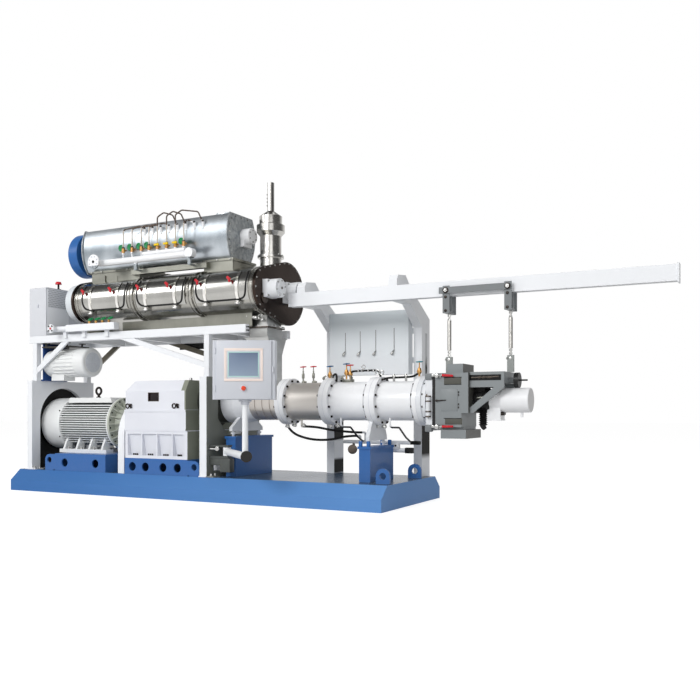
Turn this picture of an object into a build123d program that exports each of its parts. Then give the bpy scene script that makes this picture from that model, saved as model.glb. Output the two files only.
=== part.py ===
from build123d import *
import os
from math import cos, radians, sin, sqrt, tan

# Screw extruder with a two-stage steam conditioner above it, a swinging operator panel and a knife unit
# that rolls away from the die on an overhead beam. Millimetres, +Z up. The origin is the centre of the
# skid's underside, +X runs from the drive end to the die, and +Y points to the machine's rear side.

os.makedirs("parts", exist_ok=True)

# Skid
skid_length = 5000
skid_width = 1540
skid_height = 250
skid_web = 125
skid_slope = 140
lug_radius = 75
lug_hole = 35
lug_thickness = 30
lug_inset = 110
lug_spread = 402
lug_middle = -83

# Drive line: motor, gearbox and barrel share one vertical plane, in front of the skid's middle
drive_y = -115
portal_half = 512
plate = 20

# Plinths under the motor and the gearbox
plinth_half = 510
motor_plinth_start = 590
motor_plinth_length = 810
motor_plinth_height = 205
gearbox_start = 1693
gearbox_length = 897
gearbox_plinth_height = 180
plinth_hole = 50
ear_radius = 68
ear_offset = 94
ear_hole = 36

# Main motor
motor_axis_z = 810
motor_radius = 319
motor_start = 98
cowl_length = 354
cowl_rounding = 70
fin_length = 770
bell_length = 163
fin_thickness = 11
fin_pitch = 28
fin_count = 17
fin_root = 272
pad_half = 180
pad_height = 42
rail_height = 45
foot_spread = 300
gusset_thickness = 28
bell_rim = 45
bell_ribs = 20
rib_thickness = 10
shaft_radius = 45
coupling_radius = 125

# Coupling guard and gearbox
guard_start = 1595
guard_gap = 8
guard_arch_z = 650
gearbox_half = 505
lower_case_top = 741
middle_case_top = 977
upper_case_top = 1190
cap_top = 1308
cap_inset = 90
cap_slope = 70
upper_case_inset = 22
bay_starts = (42, 258, 477, 695)
bay_lengths = (194, 199, 200, 153)
bay_top_depth = 22
bay_bottom_depth = 62
foot_strip = 35
joint_flange = 22
window_start = 337
window_length = 156
window_height = 101
window_depth = 25
thrust_radius = 235
thrust_flange = 295

# Portals that carry the upper frame
portal_top = 1340
left_portal_start = 124
left_portal_depth = 80
arch_radius = 385
arch_z = 868
right_portal_start = 2760
right_portal_depth = 94
foot_plate = 12
foot_plate_width = 124

# Upper frame
frame_start = 93
frame_end = 3320
frame_half = 455
frame_width = 70
frame_height = 90
frame_rise = 550
left_post_start = 150
middle_post_start = 2773
brace_width = 28
brace_height = 60

# Conditioner drive
small_motor_radius = 177
small_motor_y = -355
small_motor_z = 1556
small_motor_start = 250
small_motor_length = 690
mount_length = 470
mount_plate = 16
mount_drop = 40
guard_box_start = 100
guard_box_length = 280
guard_box_height = 594
guard_box_rounding = 18
gear_head_start = 700
gear_shaft_radius = 90

# Lower conditioner: two troughs of unlike size side by side
shell_start = 845
shell_end = 3417
shell_lift = 390
front_radius = 235
front_y = -338
rear_radius = 340
rear_y = 87
shell_wall = 12
end_plate_thickness = 30
ring_rim = 15
ring_thickness = 22
ring_shift = 12
door_first = 1320
door_pitch = 841
door_width = 700
window_margin = 50
door_gap = 2
door_skin = 8
door_low = 32
door_high = 48
strap_width = 34
strap_spread = 425
strap_skin = 8
hinge_out = 36
hinge_angle = 36
hinge_pin = 7
hinge_clearance = 0.05
knuckle_radius = 15
lug_plate = 10
lug_play = 5
skirt_start = 1400
skirt_thickness = 8

# Bearings at the die end of the troughs' shafts
bearing_half = 95
bearing_seat = 61
bearing_length = 170

# Upper conditioner drum
drum_start = 800
drum_end = 2940
drum_lift = 380
drum_height = 498
drum_top_flat = 218
drum_bottom_flat = 176
drum_half = 263
drum_plate = 14
drum_bearing_radius = 89
drum_bearing_length = 114
drum_bearing_out = 60
inlet_x = 2790
inlet_out = 55
inlet_radius = 120
inlet_height = 32
drum_bearing_rise = 33
belt_radius = 272
belt_start = 551
belt_depth = 150
belt_hub = 80

# Transfer chutes between the drum and the troughs, and the rail that joins them
left_chute_start = 900
left_chute_length = 755
right_chute_start = 2594
right_chute_length = 393
chute_front = -330
chute_rear = 100
chute_flange = 14
chute_flange_height = 24
rail_width = 60
rail_depth = 60
rail_overlap = 80
window_x = 1216
chute_window_width = 100
chute_window_height = 105

# Steam headers with their valves, pipes and nozzles
header_out = 355
header_z = 2722
header_radius = 38
header_start = 1180
header_end = 2540
header_flange = 86
cap_flange = 56
flange_thickness = 16
manifold_start = 1830
manifold_end = 2440
manifold_radius = 22
manifold_rise = 58
valve_stations = (1530, 1663, 1802, 1917, 2040, 2174, 2300, 2419)
nozzle_order = (0, 1, 2, 3, 4, 5, 7, 6)
tall_valves = (4, 5, 6)
valve_low = 2800
valve_radius = 17
valve_height = 75
riser_radius = 8
nozzle_first = 1778
nozzle_pitch = 120
nozzle_radius = 17
nozzle_length = 84
lower_header_out = 500
lower_header_z = 1950
lower_header_half = 40
lower_header_start = 800
lower_header_end = 1560
lower_pipe_radius = 32
lower_flange_x = 625
lower_flange_radius = 52

# Vent stack on the rear trough
stack_x = 3217
stack_radius = 121
stack_flange_z = 2711
stack_flange_radius = 150
stack_neck_radius = 40
hood_low = 2946
hood_lip = 2992
hood_lip_top = 3071
hood_shoulder = 3085
hood_top = 3173
stack_neck_low = 3235
stack_top = 3558
hood_radius = 160
hood_cap_radius = 130

# Discharge chute, slide gate and feed hopper
chute_start = 3175
chute_length = 216
chute_half = 145
gate_z = 1890
gate_thickness = 16
gate_rim = 30
hopper_top = 1774
hopper_neck = 1585
hopper_rim = 50
hopper_rim_thickness = 10
neck_margin = 30
neck_shift = 30

# Barrel
barrel_z = 1068
barrel_radius = 202
flange_radius = 250
adaptor_end = 3190
groove_width = 14
groove_depth = 8
joint_stations = (3597, 4134, 4670, 5182)
joint_lengths = (102, 109, 109, 93)
seam_ring = 40
die_plate_start = 5275
die_plate_end = 5340
die_plate_half = 210
die_plate_low = 775
die_plate_high = 1290
die_body_radius = 235
hinge_barrel = 24

# Pedestals and saddles
pedestal_half = 283
pedestal_width = 125
pedestal_rim = 12
pedestal_top_plate = 25
left_pedestal_start = 2960
left_pedestal_height = 438
left_pedestal_front = 300
left_pedestal_rear = 435
right_pedestal_start = 4580
right_pedestal_height = 358
saddle_thickness = 40
saddle_gap = 56
jack_radius = 14
jack_spread = 200

# Rear posts, cabinet, arms and the trolley beam
post_start = 3715
post_pitch = 1083
post_width = 97
post_front = 505
post_depth = 228
arm_foot_z = 1875
arm_back_z = 1984
arm_reach_y = 190
arm_web_recess = 12
cap_front_rise = 61
cap_peak_rise = 137
beam_start = 3606
beam_end = 7550
beam_low = 2098
beam_height = 146
beam_width = 100
beam_wall = 10
beam_slot = 30
beam_end_plate = 14
cabinet_start = 3814
cabinet_end = 4785
cabinet_depth = 112
cabinet_low = 1365
cabinet_high = 2065
slot_width = 14
slot_height = 400
slot_count = 4
slot_pitch = 170
slot_depth = 6

# Operator panel on its swinging arm
pivot_station = 3061
pivot_out = 424
arm_z = 528
arm_length = 968
arm_heading = -43.95
arm_radius = 37
arm_cap_radius = 55
column_radius = 29
panel_low = 1075
panel_width = 604
panel_height = 567
panel_depth = 170
panel_rounding = 14
collar_radius = 42
collar_length = 50
turning_clearance = 0.05
face_turn = 27.2
pivot_pin = 16

# Knife unit
hanger_stations = (5440, 6060)
wheel_radius = 40
wheel_width = 22
rolling_clearance = 0.1
side_plate_out = 92
side_plate_width = 70
side_plate_low = 1925
link_height = 62
rod_radius = 9
turnbuckle_radius = 20
turnbuckle_low = 1565
turnbuckle_high = 1860
fork_high = 1500
fork_half = 31
knife_gap = 8
seal_thickness = 30
column_length = 335
column_half = 226
column_low = 810
column_high = 1332
column_step = 70
upper_box_start = 100
upper_box_length = 160
upper_box_half = 161
upper_box_top = 1422
upper_arm_end = 672
upper_arm_half = 186
upper_arm_low = 1229
upper_arm_high = 1338
brace_tip_z = 1187
brace_heel_z = 945
brace_plate = 24
lower_box_start = 56
lower_box_length = 256
lower_box_low = 700
lower_box_high = 785
knife_motor_radius = 118
knife_motor_length = 270
knife_motor_start = 640
adaptor_radius = 98
adaptor_start = 345
handwheel_radius = 73
handwheel_z = 1259

# Cooling hoses from the barrel joints to the water manifold behind the right pedestal
hose_radius = 13
water_pipe_radius = 20
water_pipe_y = 200
water_pipe_z = 630
water_pipe_start = 4225
water_pipe_end = 5000
hose_ports = (4300, 4360)
port_turn = 29.3
fitting_radius = 11
fitting_length = 36
first_heading = (-0.55, -0.1, 0.829)


def st(distance):
    """X of a point that lies at a distance from the skid's drive end."""
    return distance - skid_length / 2


def box_between(x0, x1, y0, y1, z0, z1, mode=Mode.ADD):
    """A straight block between two corners, in the part being built."""
    with Locations(((x0 + x1) / 2, (y0 + y1) / 2, (z0 + z1) / 2)):
        Box(x1 - x0, y1 - y0, z1 - z0, mode=mode)


def rod_x(x0, x1, y, z, radius, mode=Mode.ADD):
    """A round bar along X, in the part being built."""
    with Locations(Location(((x0 + x1) / 2, y, z), (0, 90, 0))):
        Cylinder(radius, x1 - x0, mode=mode)


def rod_y(x, y0, y1, z, radius, mode=Mode.ADD):
    """A round bar along Y, in the part being built."""
    with Locations(Location((x, (y0 + y1) / 2, z), (90, 0, 0))):
        Cylinder(radius, y1 - y0, mode=mode)


def rod_z(x, y, z0, z1, radius, mode=Mode.ADD):
    """An upright round bar, in the part being built."""
    with Locations((x, y, (z0 + z1) / 2)):
        Cylinder(radius, z1 - z0, mode=mode)


def outline(plane, points):
    """A closed straight-sided face on a plane."""
    with BuildSketch(plane) as section:
        with BuildLine():
            Polyline(*points, close=True)
        make_face()
    return section.sketch


def turned(axis_y, axis_z, profile):
    """The face of a turned piece: pairs of station and radius, on the upright plane through its axis."""
    x_first, x_last = profile[0][0], profile[-1][0]
    points = [(x_first, axis_z)] + [(x, axis_z + r) for x, r in profile] + [(x_last, axis_z)]
    return outline(Plane.XZ.offset(-axis_y), points)


def bent_tube(points, radius, bend):
    """A tube of one radius along straight runs joined by bends, in the part being built."""
    with BuildLine() as path:
        FilletPolyline(*points, radius=bend)
    with BuildSketch(Plane(path.line @ 0, z_dir=path.line % 0)) as section:
        Circle(radius)
    sweep(section.sketch, path=path.line)


def finish(builder, name):
    """Labels a finished piece and writes it to its STEP file."""
    builder.part.label = name
    export_step(builder.part, f"parts/{name}.step")


# Skid: a box with both long top edges sloped
with BuildPart() as base_skid:
    half = skid_width / 2
    extrude(outline(Plane.YZ.offset(st(0)), [(-half, 0), (half, 0), (half, skid_web),
                                             (half - skid_slope, skid_height),
                                             (skid_slope - half, skid_height), (-half, skid_web)]),
            amount=skid_length)
finish(base_skid, "base_skid")

with BuildPart() as lifting_lugs:
    for y in (lug_middle - lug_spread, lug_middle + lug_spread):
        with BuildSketch(Plane.XZ.offset(-y)):
            with Locations((st(skid_length) - lug_inset, skid_height + lug_radius)):
                Circle(lug_radius)
            with Locations((st(skid_length) - lug_inset, skid_height + lug_radius / 2)):
                Rectangle(2 * lug_radius, lug_radius)
            with Locations((st(skid_length) - lug_inset, skid_height + lug_radius)):
                Circle(lug_hole, mode=Mode.SUBTRACT)
        extrude(amount=lug_thickness / 2, both=True)
finish(lifting_lugs, "lifting_lugs")


def plinth(start, length, height, holes, ear_side):
    """A welded plinth: top, front, rear and end plates, round holes front and rear, and a lifting ear."""
    x0, x1 = st(start), st(start + length)
    z0, z1 = skid_height, skid_height + height
    with BuildPart() as built:
        box_between(x0, x1, drive_y - plinth_half, drive_y + plinth_half, z0, z1)
        box_between(x0 + plate, x1 - plate, drive_y - plinth_half + plate, drive_y + plinth_half - plate,
                    z0, z1 - plate, mode=Mode.SUBTRACT)
        for hole in holes:
            rod_y(st(hole), drive_y - plinth_half - 1, drive_y + plinth_half + 1, (z0 + z1) / 2 - 5,
                  plinth_hole, mode=Mode.SUBTRACT)
        edge = x0 if ear_side < 0 else x1
        middle = edge + ear_side * ear_offset
        ear_top = z1 - ear_radius - 12
        for y in (drive_y - plinth_half + plate / 2, drive_y + plinth_half - plate / 2):
            with BuildSketch(Plane.XZ.offset(-y)):
                with Locations((middle, ear_top)):
                    Circle(ear_radius)
                with Locations((middle, (z0 + ear_top) / 2)):
                    Rectangle(2 * ear_radius, ear_top - z0)
                with Locations(((edge + middle) / 2, (z0 + z1) / 2)):
                    Rectangle(ear_offset, height - plate)
                with Locations((middle, ear_top)):
                    Circle(ear_hole, mode=Mode.SUBTRACT)
            extrude(amount=plate / 2, both=True)
    return built


motor_plinth = plinth(motor_plinth_start, motor_plinth_length, motor_plinth_height, (750, 1240), -1)
finish(motor_plinth, "motor_plinth")
gearbox_plinth = plinth(gearbox_start, gearbox_length, gearbox_plinth_height, (1808, 1998, 2251, 2453), 1)
finish(gearbox_plinth, "gearbox_plinth")

# Main motor: rounded fan cowl, finned body with a flat pad on top, and a ribbed end bell, on two foot rails
cowl_end = st(motor_start + cowl_length)
fins_end = cowl_end + fin_length
bell_end = fins_end + bell_length
motor_foot_z = skid_height + motor_plinth_height
with BuildPart() as main_motor:
    rod_x(st(motor_start), cowl_end, drive_y, motor_axis_z, motor_radius)
    fillet(main_motor.edges().group_by(Axis.X)[0], cowl_rounding)
    with BuildSketch(Plane.YZ.offset(cowl_end - 1)):
        with Locations((drive_y, motor_axis_z)):
            with GridLocations(0, fin_pitch, 1, fin_count):
                Rectangle(2 * motor_radius, fin_thickness)
            Circle(fin_root)
            Circle(motor_radius - 4, mode=Mode.INTERSECT)
    extrude(amount=fin_length + 2)
    with BuildSketch(Plane.XZ.offset(-drive_y)):
        with BuildLine():
            pad_top = motor_axis_z + motor_radius
            start = Line((cowl_end + 20, pad_top - pad_height - 20), (cowl_end + 20, pad_top - pad_height))
            curve = TangentArc(start @ 1, (cowl_end + 75, pad_top), tangent=(0, 1))
            top = Line(curve @ 1, (fins_end - 60, pad_top))
            slope = Line(top @ 1, (fins_end - 30, pad_top - pad_height - 20))
            Line(slope @ 1, start @ 0)
        make_face()
    extrude(amount=pad_half, both=True)
    rim_end = fins_end + bell_rim
    shoulder = bell_end - 25
    revolve(turned(drive_y, motor_axis_z, [(fins_end, motor_radius), (rim_end, motor_radius), (rim_end, 220),
                                           (shoulder, 185), (shoulder, 150), (bell_end, 150)]),
            axis=Axis((0, drive_y, motor_axis_z), (1, 0, 0)))
    for step in range(bell_ribs):
        turn = radians(step * 360 / bell_ribs)
        with BuildSketch(Plane((rim_end - 1, drive_y, motor_axis_z), x_dir=(1, 0, 0),
                               z_dir=(0, cos(turn), sin(turn)))):
            with BuildLine():
                Polyline((0, 160), (shoulder - rim_end - 2, 160), (shoulder - rim_end - 2, 200),
                         (8, motor_radius - 8),
                         (0, motor_radius - 8), close=True)
            make_face()
        extrude(amount=rib_thickness / 2, both=True)
    for side in (-1, 1):
        near, far = drive_y + side * 180, drive_y + side * foot_spread
        box_between(cowl_end - 7, fins_end - 12, min(near, far), max(near, far), motor_foot_z,
                    motor_foot_z + rail_height)
        for step in range(4):
            x = cowl_end + 50 + step * (fin_length - 150) / 3
            extrude(outline(Plane.YZ.offset(x), [(far, motor_foot_z + rail_height - 1),
                                                 (drive_y + side * 215, motor_axis_z - 120),
                                                 (drive_y + side * 150, motor_axis_z - 120),
                                                 (near, motor_foot_z + rail_height - 1)]),
                    amount=gusset_thickness)
finish(main_motor, "main_motor")

# Coupling guard: a closed cover with an arched top round the coupling
guard_end = st(gearbox_start) - guard_gap
with BuildPart() as coupling_guard:
    with BuildSketch(Plane.YZ.offset(st(guard_start))):
        with Locations((drive_y, guard_arch_z)):
            Circle(portal_half)
        with Locations((drive_y, (skid_height + guard_arch_z) / 2)):
            Rectangle(2 * portal_half, guard_arch_z - skid_height)
        with Locations((drive_y, 0)):
            Rectangle(3 * portal_half, 2 * skid_height, mode=Mode.SUBTRACT)
        with Locations((drive_y, motor_axis_z)):
            Circle(coupling_radius + 25, mode=Mode.SUBTRACT)
    extrude(amount=guard_end - st(guard_start))
finish(coupling_guard, "coupling_guard")

with BuildPart() as shaft_coupling:
    rod_x(bell_end, st(gearbox_start), drive_y, motor_axis_z, shaft_radius)
    for near in (50, 150):
        rod_x(bell_end + near, bell_end + near + 80, drive_y, motor_axis_z, coupling_radius)
    chamfer(shaft_coupling.edges().filter_by(GeomType.CIRCLE).filter_by(lambda edge: edge.radius > shaft_radius + 1), 8)
finish(shaft_coupling, "shaft_coupling")

# Gearbox: lower case with sloping bays between ribs, middle and upper case, and a sloped cap
g0, g1 = st(gearbox_start), st(gearbox_start + gearbox_length)
gearbox_base = skid_height + gearbox_plinth_height
front = drive_y - gearbox_half
rear = drive_y + gearbox_half
with BuildPart() as gearbox_lower_case:
    box_between(g0, g1, front, rear, gearbox_base, lower_case_top)
    for start, length in zip(bay_starts, bay_lengths):
        low_z = gearbox_base + foot_strip
        high_z = lower_case_top - foot_strip
        for face, side in ((front, 1), (rear, -1)):
            extrude(outline(Plane.YZ.offset(g0 + start),
                            [(face - side, low_z), (face + side * bay_bottom_depth, low_z),
                                                          (face + side * bay_top_depth, high_z),
                             (face - side, high_z)]),
                    amount=length, mode=Mode.SUBTRACT)
    fillet(gearbox_lower_case.edges().filter_by(Axis.Z).group_by(Axis.X)[0], 12)
finish(gearbox_lower_case, "gearbox_lower_case")

upper_g1 = g1 - upper_case_inset
with BuildPart() as gearbox_upper_case:
    box_between(g0, upper_g1, front, rear, lower_case_top, middle_case_top)
    box_between(g0 + 6, upper_g1 - 6, front + 6, rear - 6, middle_case_top, upper_case_top)
    with BuildSketch(Plane.XY.offset(upper_case_top)):
        with Locations(((g0 + upper_g1) / 2, drive_y)):
            Rectangle(upper_g1 - g0 - 12, 2 * gearbox_half - 12)
    with BuildSketch(Plane.XY.offset(cap_top)):
        with Locations(((g0 + upper_g1 + cap_inset) / 2, drive_y)):
            Rectangle(upper_g1 - g0 - 12 - cap_inset, 2 * (gearbox_half - cap_slope))
    loft()
    window_low = middle_case_top + (upper_case_top - middle_case_top - window_height) - 16
    box_between(g0 + window_start, g0 + window_start + window_length, front, front + window_depth, window_low,
                window_low + window_height, mode=Mode.SUBTRACT)
    for level in (lower_case_top, middle_case_top - joint_flange):
        box_between(g0 - 6, upper_g1, front - 6, rear + 6, level, level + joint_flange)
finish(gearbox_upper_case, "gearbox_upper_case")

with BuildPart() as thrust_housing:
    neck_end = st(adaptor_end - 200)
    revolve(turned(drive_y, barrel_z, [(upper_g1, thrust_flange), (upper_g1 + 40, thrust_flange),
                                       (upper_g1 + 40, thrust_radius), (neck_end, thrust_radius),
                                       (st(adaptor_end), barrel_radius + 4)]),
            axis=Axis((0, drive_y, barrel_z), (1, 0, 0)))
finish(thrust_housing, "thrust_housing")

# Portals: the left one is arched over the motor's fan end, the right one is open round the thrust housing
with BuildPart() as left_portal:
    with BuildSketch(Plane.YZ.offset(st(left_portal_start))):
        with Locations((drive_y, (skid_height + portal_top) / 2)):
            Rectangle(2 * portal_half, portal_top - skid_height)
        with Locations((drive_y, arch_z)):
            Circle(arch_radius, mode=Mode.SUBTRACT)
        with Locations((drive_y, (skid_height + arch_z) / 2)):
            Rectangle(2 * arch_radius, arch_z - skid_height, mode=Mode.SUBTRACT)
    extrude(amount=left_portal_depth)
    for side in (-1, 1):
        y = drive_y + side * (portal_half - 50)
        box_between(st(left_portal_start) - 24, st(left_portal_start) + left_portal_depth + 70,
                    y - foot_plate_width / 2, y + foot_plate_width / 2, skid_height, skid_height + foot_plate)
finish(left_portal, "left_portal")

with BuildPart() as right_portal:
    with BuildSketch(Plane.YZ.offset(st(right_portal_start))):
        with Locations((drive_y, (skid_height + portal_top) / 2)):
            Rectangle(2 * portal_half, portal_top - skid_height)
        with Locations((drive_y, barrel_z - 60)):
            RegularPolygon(330, 8, rotation=22.5, mode=Mode.SUBTRACT)
        with Locations((drive_y - 320, skid_height + 140)):
            Rectangle(130, 157, mode=Mode.SUBTRACT)
    extrude(amount=right_portal_depth)
    for side in (-1, 1):
        y = drive_y + side * (portal_half - 50)
        box_between(st(right_portal_start) - 5, st(right_portal_start) + right_portal_depth + 100,
                    y - foot_plate_width / 2, y + foot_plate_width / 2, skid_height, skid_height + foot_plate)
finish(right_portal, "right_portal")

# Upper frame
frame_top = portal_top + frame_rise
frame_low = frame_top - frame_height
with BuildPart() as frame_beams:
    for side in (-1, 1):
        y = drive_y + side * (frame_half - frame_width / 2)
        box_between(st(frame_start), st(frame_end), y - frame_width / 2, y + frame_width / 2, frame_low,
                    frame_top)
    fillet(frame_beams.edges().filter_by(Axis.X), 6)
finish(frame_beams, "frame_beams")

door_centres = [st(door_first + door_pitch * step) for step in range(3)]
ring_centres = [x + door_pitch / 2 + ring_shift for x in door_centres[:2]]
crossbar_starts = [st(frame_start), st(230), st(shell_start) - 40] + [x - 40 for x in ring_centres] + [st(chute_start) - 130]
with BuildPart() as frame_crossbars:
    for x in crossbar_starts:
        box_between(x, x + frame_width, drive_y - frame_half + frame_width,
                    drive_y + frame_half - frame_width,
                    frame_low, frame_top)
finish(frame_crossbars, "frame_crossbars")

with BuildPart() as frame_posts:
    for side in (-1, 1):
        y = drive_y + side * (frame_half - frame_width / 2)
        for station in (left_post_start, middle_post_start):
            box_between(st(station), st(station) + frame_width, y - frame_width / 2, y + frame_width / 2,
                        portal_top, frame_low)
    fillet(frame_posts.edges().filter_by(Axis.Z), 6)
finish(frame_posts, "frame_posts")


def brace(x_high, x_low, z_low, side):
    """A sloped flat bar from the underside of a frame beam to the side of a post."""
    y = drive_y + side * (frame_half - brace_width / 2 - 8)
    lean = 1 if x_high > x_low else -1
    rise = frame_low - z_low
    run = abs(x_high - x_low)
    along = sqrt(rise ** 2 + run ** 2)
    return outline(Plane.XZ.offset(-y), [(x_low, z_low), (x_high, frame_low),
                                         (x_high - lean * brace_height * along / rise, frame_low),
                                         (x_low, z_low + brace_height * along / run)])


with BuildPart() as frame_braces:
    for side in (-1, 1):
        extrude(brace(st(740), st(left_post_start) + frame_width, portal_top + 90, side),
                amount=brace_width / 2,
                both=True)
        extrude(brace(st(1560), st(middle_post_start), portal_top + 100, side), amount=brace_width / 2,
                both=True)
finish(frame_braces, "frame_braces")

# Conditioner drive under and at the end of the frame
with BuildPart() as drive_bracket:
    box_between(st(230), st(small_motor_start), small_motor_y - 130, small_motor_y + 250, portal_top,
                frame_low)
    box_between(st(left_portal_start), st(230), small_motor_y - 130, small_motor_y + 250, portal_top,
                portal_top + 16)
    box_between(st(small_motor_start), st(small_motor_start) + mount_length, small_motor_y - 160,
                small_motor_y + 160, frame_low - mount_drop - mount_plate, frame_low - mount_drop)
    for x in (st(small_motor_start) + 60, st(small_motor_start) + mount_length - 60):
        for y in (small_motor_y - 145, small_motor_y + 100):
            rod_z(x, y, frame_low - mount_drop, frame_low, 12)
            box_between(x - 30, x + 30, y - 30, y + 30, frame_low - 10, frame_low)
finish(drive_bracket, "drive_bracket")

with BuildPart() as conditioner_motor:
    x0 = st(small_motor_start)
    x1 = x0 + small_motor_length
    revolve(turned(small_motor_y, small_motor_z, [(x0, 150), (x0 + 25, 150), (x0 + 25, 165), (x0 + 160, 165),
                                                  (x0 + 160, small_motor_radius - 14),
                                                  (x1 - 172, small_motor_radius - 14),
                                                  (x1 - 172, small_motor_radius),
                                                  (x1, small_motor_radius)]),
            axis=Axis((0, small_motor_y, small_motor_z), (1, 0, 0)))
    fillet(conditioner_motor.edges().group_by(Axis.X)[-1], 30)
    for step in range(24):
        turn = radians(step * 15)
        with BuildSketch(Plane((x0 + 170, small_motor_y, small_motor_z), x_dir=(1, 0, 0),
                               z_dir=(0, cos(turn), sin(turn)))):
            with BuildLine():
                Polyline((0, small_motor_radius - 24), (small_motor_length - 345, small_motor_radius - 24),
                         (small_motor_length - 345, small_motor_radius - 3), (0, small_motor_radius - 3),
                         close=True)
            make_face()
        extrude(amount=3, both=True)
    box_between(x0 + 90, x0 + 300, small_motor_y - 90, small_motor_y + 90, small_motor_z - 215,
                small_motor_z - 100)
finish(conditioner_motor, "conditioner_motor")

guard_box_top = frame_top + guard_box_height
with BuildPart() as drive_guard:
    box_between(st(guard_box_start), st(guard_box_start + guard_box_length), drive_y - frame_half,
                drive_y + frame_half, frame_top, guard_box_top)
    fillet(drive_guard.edges().filter_by(Axis.X).group_by(Axis.Z)[-1], guard_box_rounding)
finish(drive_guard, "drive_guard")

shell_z = frame_top + shell_lift


def trough_section(plane, grow):
    """The outline of the two troughs with tangent sides, grown by an amount."""
    with BuildSketch(plane) as section:
        with BuildLine():
            CenterArc((front_y, shell_z), front_radius + grow, 0, 360)
            CenterArc((rear_y, shell_z), rear_radius + grow, 0, 360)
        make_hull()
    return section.sketch


with BuildPart() as conditioner_reducer:
    extrude(trough_section(Plane.YZ.offset(st(gear_head_start)), -6),
            amount=shell_start - end_plate_thickness - gear_head_start)
    rod_x(st(guard_box_start + guard_box_length), st(gear_head_start), rear_y, shell_z, gear_shaft_radius)
    rod_x(st(gear_head_start) - 30, st(gear_head_start), rear_y, shell_z, gear_shaft_radius + 45)
finish(conditioner_reducer, "conditioner_reducer")

# Lower conditioner shell, open behind each door
shell_length = shell_end - shell_start
window_width = door_width - 2 * window_margin
with BuildPart() as conditioner_shell:
    extrude(trough_section(Plane.YZ.offset(st(shell_start)), 0), amount=shell_length)
    extrude(trough_section(Plane.YZ.offset(st(shell_start)), -shell_wall), amount=shell_length,
            mode=Mode.SUBTRACT)
    for x in door_centres:
        box_between(x - window_width / 2, x + window_width / 2, front_y - front_radius - 20,
                    front_y - front_radius * cos(radians(door_high - 6)) + 25,
                    shell_z - front_radius * sin(radians(door_low - 6)),
                    shell_z + front_radius * sin(radians(door_high - 6)), mode=Mode.SUBTRACT)
finish(conditioner_shell, "conditioner_shell")

with BuildPart() as shell_rings:
    for x in ring_centres:
        extrude(trough_section(Plane.YZ.offset(x - ring_thickness / 2), ring_rim), amount=ring_thickness)
        extrude(trough_section(Plane.YZ.offset(x - ring_thickness / 2), 0), amount=ring_thickness,
                mode=Mode.SUBTRACT)
finish(shell_rings, "shell_rings")

with BuildPart() as shell_end_plates:
    extrude(trough_section(Plane.YZ.offset(st(shell_start) - end_plate_thickness), ring_rim),
            amount=end_plate_thickness)
    extrude(trough_section(Plane.YZ.offset(st(shell_end)), ring_rim), amount=end_plate_thickness)
finish(shell_end_plates, "shell_end_plates")

with BuildPart() as shell_saddles:
    for x in crossbar_starts[2:]:
        box_between(x + 25, x + 45, front_y, drive_y + frame_half - 80, frame_top, shell_z - 120)
    box_between(st(skirt_start), st(chute_start + 75), front_y - skirt_thickness / 2,
                front_y + skirt_thickness / 2, frame_top, shell_z - 120)
    last = crossbar_starts[-1]
    extrude(trough_section(Plane.YZ.offset(st(0)), ring_rim), amount=ring_centres[1] + ring_thickness - st(0),
            mode=Mode.SUBTRACT)
    extrude(trough_section(Plane.YZ.offset(ring_centres[1]), 0), amount=last + 300 - ring_centres[1],
            mode=Mode.SUBTRACT)
finish(shell_saddles, "shell_saddles")

# Doors on the front trough, hinged at their lower edge
hinge_y = front_y - (front_radius + hinge_out) * cos(radians(hinge_angle))
hinge_z = shell_z - (front_radius + hinge_out) * sin(radians(hinge_angle))


def sector(plane, inner, outer, low, high):
    """A ring segment round the front trough's axis, from low degrees below to high above the horizontal."""
    reach = 3 * outer
    with BuildSketch(plane) as section:
        with Locations((front_y, shell_z)):
            Circle(outer)
            Circle(inner, mode=Mode.SUBTRACT)
        with BuildLine():
            Polyline((front_y, shell_z),
                     (front_y - reach * cos(radians(low)), shell_z - reach * sin(radians(low))),
                     (front_y - reach * cos(radians(high)), shell_z + reach * sin(radians(high))), close=True)
        make_face(mode=Mode.INTERSECT)
    return section.sketch


def strap_centres(x):
    """The middles of a door's two straps, which carry its hinges."""
    return (x - strap_spread / 2, x + strap_spread / 2)


for step, x in enumerate(door_centres):
    skin_inner = front_radius + door_gap
    skin_outer = skin_inner + door_skin
    with BuildPart() as door:
        extrude(sector(Plane.YZ.offset(x - door_width / 2), skin_inner, skin_outer, door_low, door_high),
                amount=door_width)
        for centre in strap_centres(x):
            near = Plane.YZ.offset(centre - strap_width / 2)
            extrude(sector(near, skin_outer - 1, skin_outer + strap_skin, hinge_angle - 4, door_high),
                    amount=strap_width)
            extrude(sector(near, skin_outer - 1, front_radius + hinge_out, hinge_angle + 1, 6 - hinge_angle),
                    amount=strap_width)
            rod_x(centre - strap_width / 2, centre + strap_width / 2, hinge_y, hinge_z, knuckle_radius)
            rod_x(centre - strap_width, centre + strap_width, hinge_y, hinge_z, hinge_pin + hinge_clearance,
                  mode=Mode.SUBTRACT)
    finish(door, f"conditioner_door_{step + 1}")

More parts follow.
